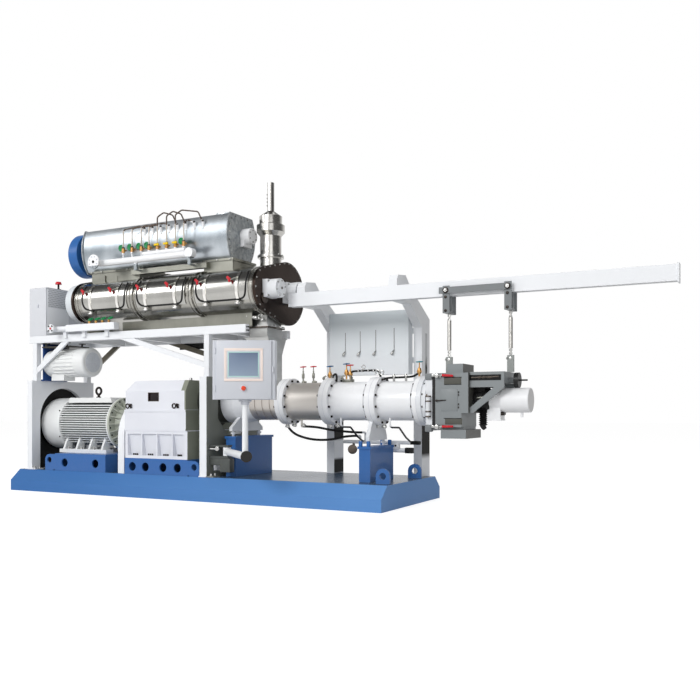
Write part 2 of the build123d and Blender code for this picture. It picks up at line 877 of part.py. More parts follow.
with BuildPart() as door_hinges:
    for x in door_centres:
        for centre in strap_centres(x):
            for side in (-1, 1):
                near = centre + side * (strap_width / 2 + lug_play)
                low_x = min(near, near + side * lug_plate)
                with BuildSketch(Plane.YZ.offset(low_x)):
                    with BuildLine():
                        CenterArc((hinge_y, hinge_z), knuckle_radius, 0, 360)
                        CenterArc((front_y - (front_radius - 8) * cos(radians(hinge_angle + 8)),
                                   shell_z - (front_radius - 8) * sin(radians(hinge_angle + 8))),
                                  knuckle_radius, 0, 360)
                    make_hull()
                    with Locations((front_y, shell_z)):
                        Circle(front_radius, mode=Mode.SUBTRACT)
                extrude(amount=lug_plate)
            rod_x(centre - strap_width / 2 - lug_play - lug_plate,
                  centre + strap_width / 2 + lug_play + lug_plate,
                  hinge_y, hinge_z, hinge_pin)
finish(door_hinges, "door_hinges")

with BuildPart() as shaft_bearings:
    x0 = st(shell_end) + end_plate_thickness
    for y, half in ((front_y, bearing_half), (rear_y, bearing_half + 20)):
        box_between(x0, x0 + bearing_seat, y - half, y + half, shell_z - half, shell_z + half)
        rod_x(x0 + bearing_seat, x0 + bearing_length, y, shell_z, half + 8)
        rod_x(x0 + bearing_length, x0 + bearing_length + 14, y, shell_z, half - 35)
finish(shaft_bearings, "shaft_bearings")

# Lower steam header: a square distributor in front of the frame beam, fed through a flanged bend
lower_y = drive_y - lower_header_out
with BuildPart() as lower_steam_header:
    box_between(st(lower_header_start), st(lower_header_end), lower_y - lower_header_half,
                lower_y + lower_header_half,
                lower_header_z - lower_header_half, lower_header_z + lower_header_half)
    bent_tube([(st(lower_header_start), lower_y, lower_header_z),
               (st(lower_flange_x), lower_y, lower_header_z),
               (st(lower_flange_x), lower_y - 95, lower_header_z)], lower_pipe_radius, 45)
    rod_y(st(lower_flange_x), lower_y - 95 - flange_thickness, lower_y - 95, lower_header_z,
          lower_flange_radius)
    for station in (700, 1000, 1360):
        box_between(st(station), st(station) + 50, drive_y - frame_half - 30, drive_y - frame_half,
                    frame_top - 50, lower_header_z - lower_header_half + 25)
finish(lower_steam_header, "lower_steam_header")

# Upper conditioner drum with bulged sides
drum_low = shell_z + drum_lift
drum_high = drum_low + drum_height
drum_mid = (drum_low + drum_high) / 2


def drum_section(plane, grow):
    """The drum's outline: flat top and bottom with bulged sides, grown by an amount."""
    with BuildSketch(plane) as section:
        with BuildLine():
            top = Line((drive_y - drum_top_flat, drum_high + grow),
                       (drive_y + drum_top_flat, drum_high + grow))
            right = ThreePointArc(top @ 1, (drive_y + drum_half + grow, drum_mid),
                                  (drive_y + drum_bottom_flat, drum_low - grow))
            bottom = Line(right @ 1, (drive_y - drum_bottom_flat, drum_low - grow))
            ThreePointArc(bottom @ 1, (drive_y - drum_half - grow, drum_mid), top @ 0)
        make_face()
    return section.sketch


with BuildPart() as drum_shell:
    extrude(drum_section(Plane.YZ.offset(st(drum_start)), 0), amount=drum_end - drum_start)
    rod_z(st(inlet_x), drive_y - inlet_out, drum_high, drum_high + inlet_height, inlet_radius)
finish(drum_shell, "drum_shell")

with BuildPart() as drum_end_plates:
    extrude(drum_section(Plane.YZ.offset(st(drum_start) - drum_plate), drum_plate), amount=drum_plate)
    extrude(drum_section(Plane.YZ.offset(st(drum_end)), drum_plate), amount=drum_plate)
    x0 = st(drum_end) + drum_plate
    bearing_y = drive_y + drum_bearing_out
    bearing_z = drum_mid + drum_bearing_rise
    rod_x(x0, x0 + drum_bearing_length, bearing_y, bearing_z, drum_bearing_radius)
    box_between(x0, x0 + 50, bearing_y - drum_bearing_radius + 10, bearing_y + drum_bearing_radius - 10,
                bearing_z - drum_bearing_radius - 35, bearing_z)
finish(drum_end_plates, "drum_end_plates")

with BuildPart() as belt_guard:
    rod_x(st(belt_start), st(belt_start + belt_depth), drive_y, drum_mid, belt_radius)
    fillet(belt_guard.edges().group_by(Axis.X)[0], 14)
    rod_x(st(belt_start + belt_depth), st(drum_start) - drum_plate, drive_y, drum_mid, belt_hub)
finish(belt_guard, "belt_guard")

chutes = ((left_chute_start, left_chute_length), (right_chute_start, right_chute_length))
with BuildPart() as transfer_chutes:
    for start, length in chutes:
        box_between(st(start), st(start + length), chute_front, chute_rear, shell_z, drum_low)
        box_between(st(start) - chute_flange, st(start + length) + chute_flange, chute_front - chute_flange,
                    chute_rear + chute_flange, drum_low - chute_flange_height, drum_low)
    flange_x = st(left_chute_start + 210)
    box_between(flange_x, flange_x + chute_flange, chute_front - chute_flange, chute_rear + chute_flange,
                shell_z,
                drum_low - 60)
    box_between(st(window_x), st(window_x) + chute_window_width, chute_front - 6, chute_front + 1,
                drum_low - 75 - chute_window_height, drum_low - 75)
    box_between(st(left_chute_start + left_chute_length) - rail_overlap, st(right_chute_start) + rail_overlap,
                chute_front - rail_width, chute_front, drum_low - 32 - rail_depth, drum_low - 32)
    # The chutes stand on the troughs and leave the rings and the drum's end plate free
    extrude(drum_section(Plane.YZ.offset(st(drum_end)), drum_plate), amount=drum_plate, mode=Mode.SUBTRACT)
    extrude(trough_section(Plane.YZ.offset(st(0)), 0), amount=skid_length, mode=Mode.SUBTRACT)
    for x in ring_centres:
        extrude(trough_section(Plane.YZ.offset(x - ring_thickness / 2), ring_rim), amount=ring_thickness,
                mode=Mode.SUBTRACT)
finish(transfer_chutes, "transfer_chutes")

# Upper steam header: main pipe, a thinner manifold on it, valves, and a bent pipe from each valve to a nozzle
header_y = drive_y - header_out
manifold_z = header_z + manifold_rise
nozzle_y = drive_y - drum_half + 8
nozzle_z = drum_high - 108
nozzle_lean = 20.4
nozzle_top = nozzle_length / 2
nozzle_end_y = nozzle_y - nozzle_top * sin(radians(nozzle_lean))
nozzle_end_z = nozzle_z + nozzle_top * cos(radians(nozzle_lean))
valve_top = valve_low + valve_height
low_rise = valve_top + 210
high_rise = valve_top + 305
with BuildPart() as upper_steam_header:
    rod_x(st(header_start) + 100, st(header_end), header_y, header_z, header_radius)
    bent_tube([(st(header_start) + 110, header_y, header_z), (st(header_start), header_y, header_z),
               (st(header_start), header_y - 110, header_z)], header_radius, 50)
    rod_y(st(header_start), header_y - 110 - flange_thickness, header_y - 110, header_z, header_flange)
    rod_y(st(header_end), header_y - cap_flange - flange_thickness, header_y, header_z, cap_flange)
    rod_x(st(manifold_start), st(manifold_end), header_y, manifold_z, manifold_radius)
    for index, station in enumerate(valve_stations):
        x = st(station)
        rod_z(x, header_y, header_z, valve_low, riser_radius)
        rod_z(x, header_y, valve_low, valve_top, valve_radius)
        nozzle = nozzle_order[index]
        xn = st(nozzle_first + nozzle_pitch * nozzle)
        end = (xn, nozzle_end_y, nozzle_end_z - 8)
        if index in tall_valves:
            route = [(x, header_y, valve_top - 5), (x, header_y, high_rise),
                     (x + 70, header_y + 25, high_rise + 50),
                     (xn - 50, header_y + 65, high_rise + 20), end]
        else:
            route = [(x, header_y, valve_top - 5), (x, header_y, low_rise),
                     (xn - 60, header_y + 75, low_rise + 40),
                     end]
        bent_tube(route, riser_radius, 38 if index != 7 else 22)
        with Locations(Plane((xn, nozzle_y, nozzle_z),
                             z_dir=(0, -sin(radians(nozzle_lean)), cos(radians(nozzle_lean))))):
            Cylinder(nozzle_radius, nozzle_length)
    for station in (1700, 2480):
        box_between(st(station), st(station) + 40, header_y - 10, chute_front - rail_width, drum_low - 60,
                    drum_low - 48)
        box_between(st(station), st(station) + 40, header_y - 10, header_y + 10, drum_low - 60, header_z)
    extrude(drum_section(Plane.YZ.offset(st(0)), 0), amount=skid_length, mode=Mode.SUBTRACT)
finish(upper_steam_header, "upper_steam_header")

# Vent stack on the rear trough, with its hooded cap
with BuildPart() as vent_stack:
    x = st(stack_x)
    revolve(outline(Plane.XZ.offset(-rear_y), [(x, shell_z + rear_radius - 20),
                                               (x + stack_radius, shell_z + rear_radius - 20),
                                               (x + stack_radius, hood_low), (x + hood_radius, hood_lip),
                                               (x + hood_radius, hood_lip_top),
                                               (x + hood_cap_radius, hood_shoulder),
                                               (x + hood_cap_radius, hood_top),
                                               (x + stack_neck_radius, stack_neck_low),
                                               (x + stack_neck_radius, stack_top), (x, stack_top)]),
            axis=Axis((x, rear_y, 0), (0, 0, 1)))
    rod_z(x, rear_y, stack_flange_z - 14, stack_flange_z + 14, stack_flange_radius)
    extrude(trough_section(Plane.YZ.offset(st(0)), 0), amount=skid_length, mode=Mode.SUBTRACT)
finish(vent_stack, "vent_stack")

# Discharge chute, slide gate and feed hopper
cx0, cx1 = st(chute_start), st(chute_start + chute_length)
with BuildPart() as discharge_chute:
    box_between(cx0, cx1, drive_y - chute_half, drive_y + chute_half, gate_z, shell_z)
    box_between(cx0 - gate_rim, cx1 + gate_rim, drive_y - chute_half - gate_rim,
                drive_y + chute_half + gate_rim,
                gate_z, gate_z + 10)
    extrude(trough_section(Plane.YZ.offset(st(0)), 0), amount=skid_length, mode=Mode.SUBTRACT)
finish(discharge_chute, "discharge_chute")

with BuildPart() as slide_gate:
    box_between(cx0 - gate_rim, cx1 + gate_rim, drive_y - chute_half - gate_rim,
                drive_y + chute_half + gate_rim,
                gate_z - gate_thickness, gate_z)
finish(slide_gate, "slide_gate")

with BuildPart() as feed_hopper:
    box_between(cx0 - 8, cx1 + 8, drive_y - chute_half - 8, drive_y + chute_half + 8, hopper_top,
                gate_z - gate_thickness)
    box_between(cx0 - hopper_rim, cx1 + hopper_rim, drive_y - chute_half - hopper_rim,
                drive_y + chute_half + hopper_rim,
                hopper_top - hopper_rim_thickness, hopper_top)
    with BuildSketch(Plane.XY.offset(hopper_top - hopper_rim_thickness)):
        with Locations(((cx0 + cx1) / 2, drive_y)):
            Rectangle(chute_length + 80, 2 * chute_half + 80)
    with BuildSketch(Plane.XY.offset(hopper_neck)):
        with Locations(((cx0 + cx1) / 2 + neck_shift, drive_y)):
            Rectangle(chute_length, 2 * (chute_half - neck_margin))
    loft()
    box_between(cx0 + neck_shift, cx1 + neck_shift, drive_y - chute_half + neck_margin,
                drive_y + chute_half - neck_margin, barrel_z, hopper_neck)
    rod_x(cx0 - 100, cx1 + 200, drive_y, barrel_z, barrel_radius, mode=Mode.SUBTRACT)
finish(feed_hopper, "feed_hopper")



def hose_fitting(place, direction, length):
    """A round fitting that starts at a hose's end and runs along a direction, in the part being built."""
    with Locations(Plane(place, z_dir=direction)):
        Cylinder(fitting_radius, length, align=(Align.CENTER, Align.CENTER, Align.MIN))


port_z = (water_pipe_z + 65, water_pipe_z + 103)
port_heading = (cos(radians(port_turn)), sin(radians(port_turn)))
hose_ends = [(st(port) - fitting_length * port_heading[0], water_pipe_y - fitting_length * port_heading[1], z)
             for port, z in zip(hose_ports, port_z)]
hose_starts = [(st(joint_stations[0]) - 12, drive_y - 15, barrel_z - flange_radius - 28),
               (st(joint_stations[0]) + 193, drive_y - 35, barrel_z - flange_radius - 19)]
pipe_starts = [(st(joint_stations[1]) + 143, drive_y - 95), (st(joint_stations[2]) + 168, drive_y - 95)]

# Barrel: feed section and three housings with bolted flanges
with BuildPart() as feed_barrel:
    rod_x(st(adaptor_end), st(joint_stations[0]), drive_y, barrel_z, barrel_radius)
    for step in range(3):
        x = st(adaptor_end + 70 + 95 * step)
        rod_x(x, x + groove_width, drive_y, barrel_z, barrel_radius + 1, mode=Mode.SUBTRACT)
        rod_x(x - 1, x + groove_width + 1, drive_y, barrel_z, barrel_radius - groove_depth)
    rod_x(st(joint_stations[0]) - joint_lengths[0] / 2, st(joint_stations[0]), drive_y, barrel_z,
          flange_radius)
    hose_fitting(hose_starts[0], first_heading, 48)
finish(feed_barrel, "feed_barrel")

for step in range(3):
    x0 = st(joint_stations[step])
    x1 = st(joint_stations[step + 1])
    seam = x1 - joint_lengths[step + 1] / 2 - seam_ring
    with BuildPart() as barrel:
        rod_x(x0, x1, drive_y, barrel_z, barrel_radius)
        rod_x(x0, x0 + joint_lengths[step] / 2, drive_y, barrel_z, flange_radius)
        rod_x(x1 - joint_lengths[step + 1] / 2, x1, drive_y, barrel_z, flange_radius)
        if step == 0:
            sx, sy, sz = hose_starts[1]
            rod_z(sx - 25, sy, sz, barrel_z - barrel_radius + 6, fitting_radius)
            rod_x(sx - 25, sx, sy, sz, fitting_radius)
        if step > 0:
            rod_x(seam, seam + 12, drive_y, barrel_z, barrel_radius + 13)
            px, py = pipe_starts[step - 1]
            bent_tube([(px, py, barrel_z - barrel_radius + 30), (px, py, water_pipe_z + 169),
                       (px + 45, py + 130, water_pipe_z + 165), (px + 62, py + 265, water_pipe_z + 60),
                       (px + 64, water_pipe_y, water_pipe_z)], hose_radius - 3, 38)
            rod_x(st(water_pipe_start), st(water_pipe_end), water_pipe_y, water_pipe_z, water_pipe_radius,
                  mode=Mode.SUBTRACT)
    finish(barrel, f"barrel_section_{step + 1}")

die_x0 = st(joint_stations[3])
die_x1 = st(die_plate_start)
die_x2 = st(die_plate_end)
with BuildPart() as die_head:
    rod_x(die_x0, die_x0 + joint_lengths[3] / 2, drive_y, barrel_z, flange_radius)
    rod_x(die_x0, die_x1, drive_y, barrel_z, die_body_radius)
    box_between(die_x1, die_x2, drive_y - die_plate_half, drive_y + die_plate_half, die_plate_low,
                die_plate_high)
    hinge_x = (die_x1 + die_x2) / 2
    hinge_front = drive_y - die_plate_half - hinge_barrel
    rod_z(hinge_x, hinge_front, barrel_z - 158, barrel_z + 42, hinge_barrel)
    box_between(hinge_x - 12, hinge_x + 12, hinge_front, drive_y - die_plate_half, barrel_z - 140,
                barrel_z + 24)
finish(die_head, "die_head")


def pedestal(start, height, front_reach, rear_reach):
    """A welded stand: a web between a foot and a proud top plate, across the machine."""
    x0, x1 = st(start), st(start) + pedestal_width
    top = skid_height + height
    with BuildPart() as built:
        box_between(x0, x1, drive_y - front_reach, drive_y + rear_reach, skid_height,
                    top - pedestal_top_plate)
        box_between(x0 - pedestal_rim, x1 + pedestal_rim, drive_y - front_reach - pedestal_rim,
                    drive_y + rear_reach + pedestal_rim, top - pedestal_top_plate, top)
    return built


left_pedestal = pedestal(left_pedestal_start, left_pedestal_height, left_pedestal_front, left_pedestal_rear)
finish(left_pedestal, "left_pedestal")
right_pedestal = pedestal(right_pedestal_start, right_pedestal_height, pedestal_half, pedestal_half)
finish(right_pedestal, "right_pedestal")

with BuildPart() as barrel_saddles:
    for start, height, low_half, high_half in ((left_pedestal_start, left_pedestal_height,
                                                left_pedestal_front, 100),
                                               (right_pedestal_start, right_pedestal_height, 215, 100)):
        x = st(start) + pedestal_width / 2
        top = skid_height + height
        saddle_low = top + saddle_gap
        with BuildSketch(Plane.YZ.offset(x - saddle_thickness / 2)):
            with BuildLine():
                Polyline((drive_y - low_half, saddle_low), (drive_y + low_half, saddle_low),
                         (drive_y + low_half, saddle_low + 40), (drive_y + high_half, barrel_z - 140),
                         (drive_y - high_half, barrel_z - 140), (drive_y - low_half, saddle_low + 40),
                         close=True)
            make_face()
        extrude(amount=saddle_thickness)
        for y in (drive_y - low_half + 45, drive_y + low_half - 45):
            rod_z(x, y, top, saddle_low + 1, jack_radius)
            rod_z(x, y, saddle_low - 34, saddle_low - 12, jack_radius + 12)
    rod_x(st(right_pedestal_start), st(right_pedestal_start) + pedestal_width, drive_y, barrel_z,
          flange_radius,
          mode=Mode.SUBTRACT)
    add(thrust_housing.part, mode=Mode.SUBTRACT)
finish(barrel_saddles, "barrel_saddles")

# Rear posts, cabinet, arms and the trolley beam
beam_top = beam_low + beam_height
post_rear = post_front + post_depth
slope_start = skid_width / 2 - skid_slope
post_foot = skid_height - (post_rear - slope_start) * (skid_height - skid_web) / skid_slope
post_places = [st(post_start), st(post_start + post_pitch)]
with BuildPart() as rear_posts:
    for x in post_places:
        extrude(outline(Plane.YZ.offset(x), [(post_front, skid_height), (slope_start, skid_height),
                                             (post_rear, post_foot), (post_rear, arm_back_z),
                                             (post_front, arm_foot_z)]), amount=post_width)
    rod_x(st(water_pipe_start), st(water_pipe_end), water_pipe_y, water_pipe_z, water_pipe_radius)
    box_between(post_places[1] + 30, post_places[1] + 66, water_pipe_y, post_front, water_pipe_z - 8,
                water_pipe_z + 8)
    for port, z in zip(hose_ports, port_z):
        rod_z(st(port), water_pipe_y, water_pipe_z, z, fitting_radius)
        hose_fitting((st(port), water_pipe_y, z), (-port_heading[0], -port_heading[1], 0), fitting_length)
finish(rear_posts, "rear_posts")

cap_y = drive_y - beam_width / 2
with BuildPart() as beam_arms:
    for x in post_places:
        extrude(outline(Plane.YZ.offset(x), [(post_front, arm_foot_z), (arm_reach_y, beam_low),
                                             (drive_y + beam_width / 2, beam_low),
                                             (drive_y + beam_width / 2, beam_top),
                                             (cap_y, beam_top), (cap_y, beam_top + cap_front_rise - 3),
                                             (cap_y + 33, beam_top + cap_peak_rise - 25),
                                             (cap_y + 226, beam_top + cap_peak_rise - 3),
                                             (cap_y + 333, beam_top + 46), (post_front - 103, beam_top - 87),
                                             (post_rear, arm_back_z)]), amount=post_width)
finish(beam_arms, "beam_arms")

with BuildPart() as back_panel:
    panel_x0, panel_x1 = st(cabinet_start), st(cabinet_end)
    box_between(panel_x0, panel_x1, post_front - cabinet_depth, post_front, cabinet_low, cabinet_high)
    with BuildSketch(Plane.XZ.offset(cabinet_depth - post_front)):
        with Locations(((panel_x0 + panel_x1) / 2, (cabinet_low + cabinet_high) / 2)):
            with GridLocations(slot_pitch, 1, slot_count, 1):
                SlotOverall(slot_height, slot_width, rotation=90)
    extrude(amount=-slot_depth, mode=Mode.SUBTRACT)
    for z in (cabinet_low + 130, cabinet_high - 250):
        box_between(post_places[0] + post_width, post_places[1], post_front, post_front + 40, z, z + 60)
finish(back_panel, "back_panel")

with BuildPart() as trolley_beam:
    box_between(st(beam_start), st(beam_end), drive_y - beam_width / 2, drive_y + beam_width / 2,
                beam_low, beam_top)
    box_between(st(beam_start) - 1, st(beam_end), drive_y - beam_width / 2 + beam_wall,
                drive_y + beam_width / 2 - beam_wall, beam_low + beam_wall, beam_top - beam_wall,
                mode=Mode.SUBTRACT)
    box_between(st(beam_start) - 1, st(beam_end), drive_y - beam_slot / 2, drive_y + beam_slot / 2,
                beam_low - 1,
                beam_low + beam_wall + 1, mode=Mode.SUBTRACT)
    box_between(st(beam_end), st(beam_end) + beam_end_plate, drive_y - beam_width / 2 - 12,
                drive_y + beam_width / 2 + 12, beam_low - 12, beam_top + 12)
finish(trolley_beam, "trolley_beam")

# Operator panel: portal bracket, arm with a hollow pivot, column and box
pivot_x = st(pivot_station)
pivot_y = drive_y - pivot_out
with BuildPart() as arm_bracket:
    portal_face = st(right_portal_start) + right_portal_depth
    for z in (arm_z - 70, arm_z + 50):
        box_between(portal_face, pivot_x + 40, pivot_y - 40, pivot_y + 40, z, z + 20)
    rod_z(pivot_x, pivot_y, arm_z - 70, arm_z + 70, pivot_pin)
finish(arm_bracket, "arm_bracket")

heading = (cos(radians(arm_heading)), sin(radians(arm_heading)))
column_x = pivot_x + arm_length * heading[0]
column_y = pivot_y + arm_length * heading[1]
with BuildPart() as panel_arm:
    with Locations(Plane((pivot_x, pivot_y, arm_z), z_dir=(heading[0], heading[1], 0))):
        Cylinder(arm_radius, arm_length + 50, align=(Align.CENTER, Align.CENTER, Align.MIN))
    with Locations(Plane((column_x, column_y, arm_z), z_dir=(heading[0], heading[1], 0))):
        with Locations((0, 0, 50)):
            Cylinder(arm_cap_radius, 16, align=(Align.CENTER, Align.CENTER, Align.MIN))
    rod_z(pivot_x, pivot_y, arm_z - 45, arm_z + 45, collar_radius)
    rod_z(pivot_x, pivot_y, arm_z - 60, arm_z + 60, pivot_pin + turning_clearance, mode=Mode.SUBTRACT)
    rod_z(column_x, column_y, arm_z, panel_low - 2, column_radius)
finish(panel_arm, "panel_arm")

with BuildPart() as operator_panel:
    with BuildSketch(Plane.XY.offset(panel_low)):
        with Locations(Location((column_x, column_y, 0), (0, 0, face_turn))):
            RectangleRounded(panel_width, panel_depth, panel_rounding)
    extrude(amount=panel_height)
    rod_z(column_x, column_y, panel_low - collar_length, panel_low, collar_radius)
    rod_z(column_x, column_y, panel_low - collar_length, panel_low - 1, column_radius + turning_clearance,
          mode=Mode.SUBTRACT)
finish(operator_panel, "operator_panel")

# Knife unit on its trolley
h0, h1 = [st(station) for station in hanger_stations]
wheel_z = beam_low + beam_wall + rolling_clearance + wheel_radius
with BuildPart() as knife_trolley:
    for x in (h0, h1):
        rod_y(x, drive_y - beam_slot / 2, drive_y + beam_slot / 2, wheel_z, 12)
        box_between(x - 25, x + 25, drive_y - 8, drive_y + 8, side_plate_low, wheel_z + 20)
        for side in (-1, 1):
            inner = drive_y + side * (beam_slot / 2 + 1)
            wheel_far = inner + side * wheel_width
            plate_y = drive_y + side * side_plate_out
            rod_y(x, min(inner, wheel_far), max(inner, wheel_far), wheel_z, wheel_radius)
            rod_y(x, min(drive_y, inner), max(drive_y, inner), wheel_z, 12)
            box_between(x - side_plate_width / 2, x + side_plate_width / 2, plate_y - 6, plate_y + 6,
                        side_plate_low,
                        wheel_z + 45)
        box_between(x - 25, x + 25, drive_y - side_plate_out, drive_y + side_plate_out, side_plate_low,
                    side_plate_low + 22)
    link_y = drive_y - side_plate_out - 6
    box_between(h0 - side_plate_width, h1, link_y - 12, link_y, wheel_z - link_height / 2,
                wheel_z + link_height / 2)
    rod_y(h1, link_y - 12, link_y, wheel_z, link_height / 2)
finish(knife_trolley, "knife_trolley")

knife_x0 = die_x2 + knife_gap
column_x0 = knife_x0 + seal_thickness
column_x1 = column_x0 + column_length
with BuildPart() as hanger_rods:
    for x, seat in ((h0, column_high), (h1, upper_arm_high)):
        rod_z(x, drive_y, fork_high, side_plate_low, rod_radius)
        rod_z(x, drive_y, turnbuckle_low, turnbuckle_high, turnbuckle_radius)
        rod_y(x, drive_y - 35, drive_y + 35, (turnbuckle_low + turnbuckle_high) / 2, 6)
        box_between(x - fork_half, x + fork_half, drive_y - 16, drive_y + 16, seat, fork_high)
finish(hanger_rods, "hanger_rods")

with BuildPart() as knife_housing:
    box_between(knife_x0, column_x0, drive_y - column_half + 12, drive_y + column_half - 12, column_low + 14,
                column_high - 14)
    extrude(outline(Plane.XZ.offset(-drive_y), [(column_x0, column_low),
                                                (column_x1 - column_step, column_low),
                                                (column_x1 - column_step, brace_heel_z),
                                                (column_x1, brace_heel_z),
                                                (column_x1, column_high), (column_x0, column_high)]),
            amount=column_half, both=True)
    box_between(column_x0 + upper_box_start, column_x0 + upper_box_start + upper_box_length,
                drive_y - upper_box_half, drive_y + upper_box_half, column_high, upper_box_top)
    arm_end = column_x0 + upper_arm_end
    box_between(column_x1, arm_end, drive_y - upper_arm_half, drive_y + upper_arm_half, upper_arm_low,
                upper_arm_high)
    for y in (drive_y - upper_arm_half + brace_plate / 2, drive_y + upper_arm_half - brace_plate / 2):
        extrude(outline(Plane.XZ.offset(-y), [(column_x1 - 1, upper_arm_low + 1),
                                              (arm_end, upper_arm_low + 1),
                                              (arm_end, brace_tip_z), (column_x1 + 27, brace_heel_z),
                                              (column_x1 - 1, brace_heel_z)]), amount=brace_plate / 2,
                both=True)
        extrude(outline(Plane.XZ.offset(-y), [(column_x1, brace_tip_z + 5), (arm_end - 97, brace_tip_z + 5),
                                              (column_x1 + 8, brace_heel_z + 57),
                                              (column_x1, brace_heel_z + 57)]),
                amount=brace_plate, both=True, mode=Mode.SUBTRACT)
    box_between(column_x0 + lower_box_start, column_x0 + lower_box_start + lower_box_length - 40,
                drive_y - column_half + 40, drive_y + column_half - 40, lower_box_high, column_low)
    box_between(column_x0 + lower_box_start, column_x0 + lower_box_start + lower_box_length,
                drive_y - column_half, drive_y + column_half, lower_box_low, lower_box_high)
    rod_x(arm_end, arm_end + 55, drive_y, handwheel_z, 26)
    rod_x(arm_end + 55, arm_end + 97, drive_y, handwheel_z, handwheel_radius)
    rod_x(arm_end + 97, arm_end + 173, drive_y, handwheel_z, 8)
finish(knife_housing, "knife_housing")

with BuildPart() as knife_motor:
    motor_x0 = knife_x0 + knife_motor_start
    rod_x(column_x1, motor_x0, drive_y, barrel_z, adaptor_radius)
    rod_x(motor_x0, motor_x0 + knife_motor_length, drive_y, barrel_z, knife_motor_radius)
    fillet(knife_motor.edges().group_by(Axis.X)[-1], 10)
    box_between(motor_x0 - 138, motor_x0 - 8, drive_y - 70, drive_y + 70, barrel_z - 188, barrel_z - 60)
finish(knife_motor, "knife_motor")


def cord_line(points):
    """Straight runs joined by tangent arcs, each arc as wide as the shorter run at its corner allows."""
    radii = []
    for before, corner, after in zip(points, points[1:], points[2:]):
        into = Vector(*corner) - Vector(*before)
        out = Vector(*after) - Vector(*corner)
        shorter = min(into.length, out.length)
        radii.append(0.45 * shorter / tan(radians(into.get_angle(out)) / 2))
    print("cord arc radii", [round(radius) for radius in radii])
    return FilletPolyline(*points, radius=radii)


def shifted(place, direction, length):
    """The point that lies a length along a direction from a place."""
    return tuple(p + length * d for p, d in zip(place, direction))


toward_port = (port_heading[0], port_heading[1], 0)
from_flange = tuple(-d for d in first_heading)
hose_routes = ([hose_starts[0], shifted(hose_starts[0], from_flange, 80), (st(3780), -86, 668),
                (st(3905), -24, 649),
                (st(4034), 40, 655), (st(4134), 94, 684), shifted(hose_ends[0], toward_port, -58),
                hose_ends[0]],
               [hose_starts[1], shifted(hose_starts[1], (1, 0, 0), 62), (st(3936), -92, 790),
                (st(4012), -25, 768),
                (st(4092), 42, 752), (st(4172), 100, 742), shifted(hose_ends[1], toward_port, -66),
                hose_ends[1]])
for step, points in enumerate(hose_routes):
    with BuildPart() as hose:
        with BuildLine() as path:
            cord_line(points)
        with BuildSketch(Plane(path.line @ 0, z_dir=path.line % 0)):
            Circle(hose_radius)
        sweep(path=path.line)
    finish(hose, f"cooling_hose_{step + 1}")
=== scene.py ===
# %% [markdown]
# # A screw extruder, dressed for its portrait
#
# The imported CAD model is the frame: every node is already in its place, in metres. This lesson gives the
# nodes their finishes and adds what a CAD source leaves out, such as bolts, handwheels, gaskets and hoses.

# %% Load the frame
from math import asin, cos, degrees, pi, radians, sin

import bmesh
import bpy
from mathutils import Matrix, Vector


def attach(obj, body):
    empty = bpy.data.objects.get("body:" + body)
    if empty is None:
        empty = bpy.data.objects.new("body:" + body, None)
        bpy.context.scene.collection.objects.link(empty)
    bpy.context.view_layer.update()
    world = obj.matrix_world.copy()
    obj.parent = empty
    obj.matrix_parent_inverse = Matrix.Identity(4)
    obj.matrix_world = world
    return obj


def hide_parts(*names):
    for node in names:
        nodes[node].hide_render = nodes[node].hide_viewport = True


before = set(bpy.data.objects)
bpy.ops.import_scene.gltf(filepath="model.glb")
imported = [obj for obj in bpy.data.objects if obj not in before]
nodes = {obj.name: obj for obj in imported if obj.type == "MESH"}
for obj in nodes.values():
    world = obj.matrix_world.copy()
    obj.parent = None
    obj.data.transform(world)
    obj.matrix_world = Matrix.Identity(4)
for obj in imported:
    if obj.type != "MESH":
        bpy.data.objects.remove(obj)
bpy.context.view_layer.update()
scene = bpy.context.scene

# %% [markdown]
# ## The camera
#
# The picture was taken from low down, in front of the die end, with a level camera: all the uprights stay
# upright. So the camera looks along the horizon, and a lens shift brings the machine into the frame.

# %% Camera
camera = bpy.data.objects.new("camera", bpy.data.cameras.new("camera"))
scene.collection.objects.link(camera)
camera.location = (5.741, -7.725, 0.968)
camera.rotation_euler = (radians(90), 0, radians(27.18))
camera.data.sensor_width = 36
camera.data.lens = 41.79
camera.data.shift_y = 0.0868
camera.data.clip_end = 200
scene.camera = camera

# %% [markdown]
# ## Maths on sockets
#
# A procedural finish is mostly sums on positions and noises. A small class wraps a socket, so that a sum is
# written as a Python expression and each operator adds its Math node. A second class adds any other node.


# %% The socket class
class Value:
    """A node's output that can be added, multiplied and compared."""

    def __init__(self, graph, socket):
        self.graph = graph
        self.socket = socket

    def output(self, name):
        """Another output of the same node."""
        return Value(self.graph, self.socket.node.outputs[name])

    def maths(self, operation, first, second):
        return self.graph.node("ShaderNodeMath", {"operation": operation}, {0: first, 1: second})

    def __add__(self, other):
        return self.maths("ADD", self, other)

    def __radd__(self, other):
        return self.maths("ADD", other, self)

    def __sub__(self, other):
        return self.maths("SUBTRACT", self, other)

    def __rsub__(self, other):
        return self.maths("SUBTRACT", other, self)

    def __mul__(self, other):
        return self.maths("MULTIPLY", self, other)

    def __rmul__(self, other):
        return self.maths("MULTIPLY", other, self)

    def __truediv__(self, other):
        return self.maths("DIVIDE", self, other)

    def __gt__(self, other):
        return self.maths("GREATER_THAN", self, other)

    def __lt__(self, other):
        return self.maths("LESS_THAN", self, other)

    def larger(self, other):
        return self.maths("MAXIMUM", self, other)

    def fraction(self):
        return self.maths("FRACT", self, 0.0)


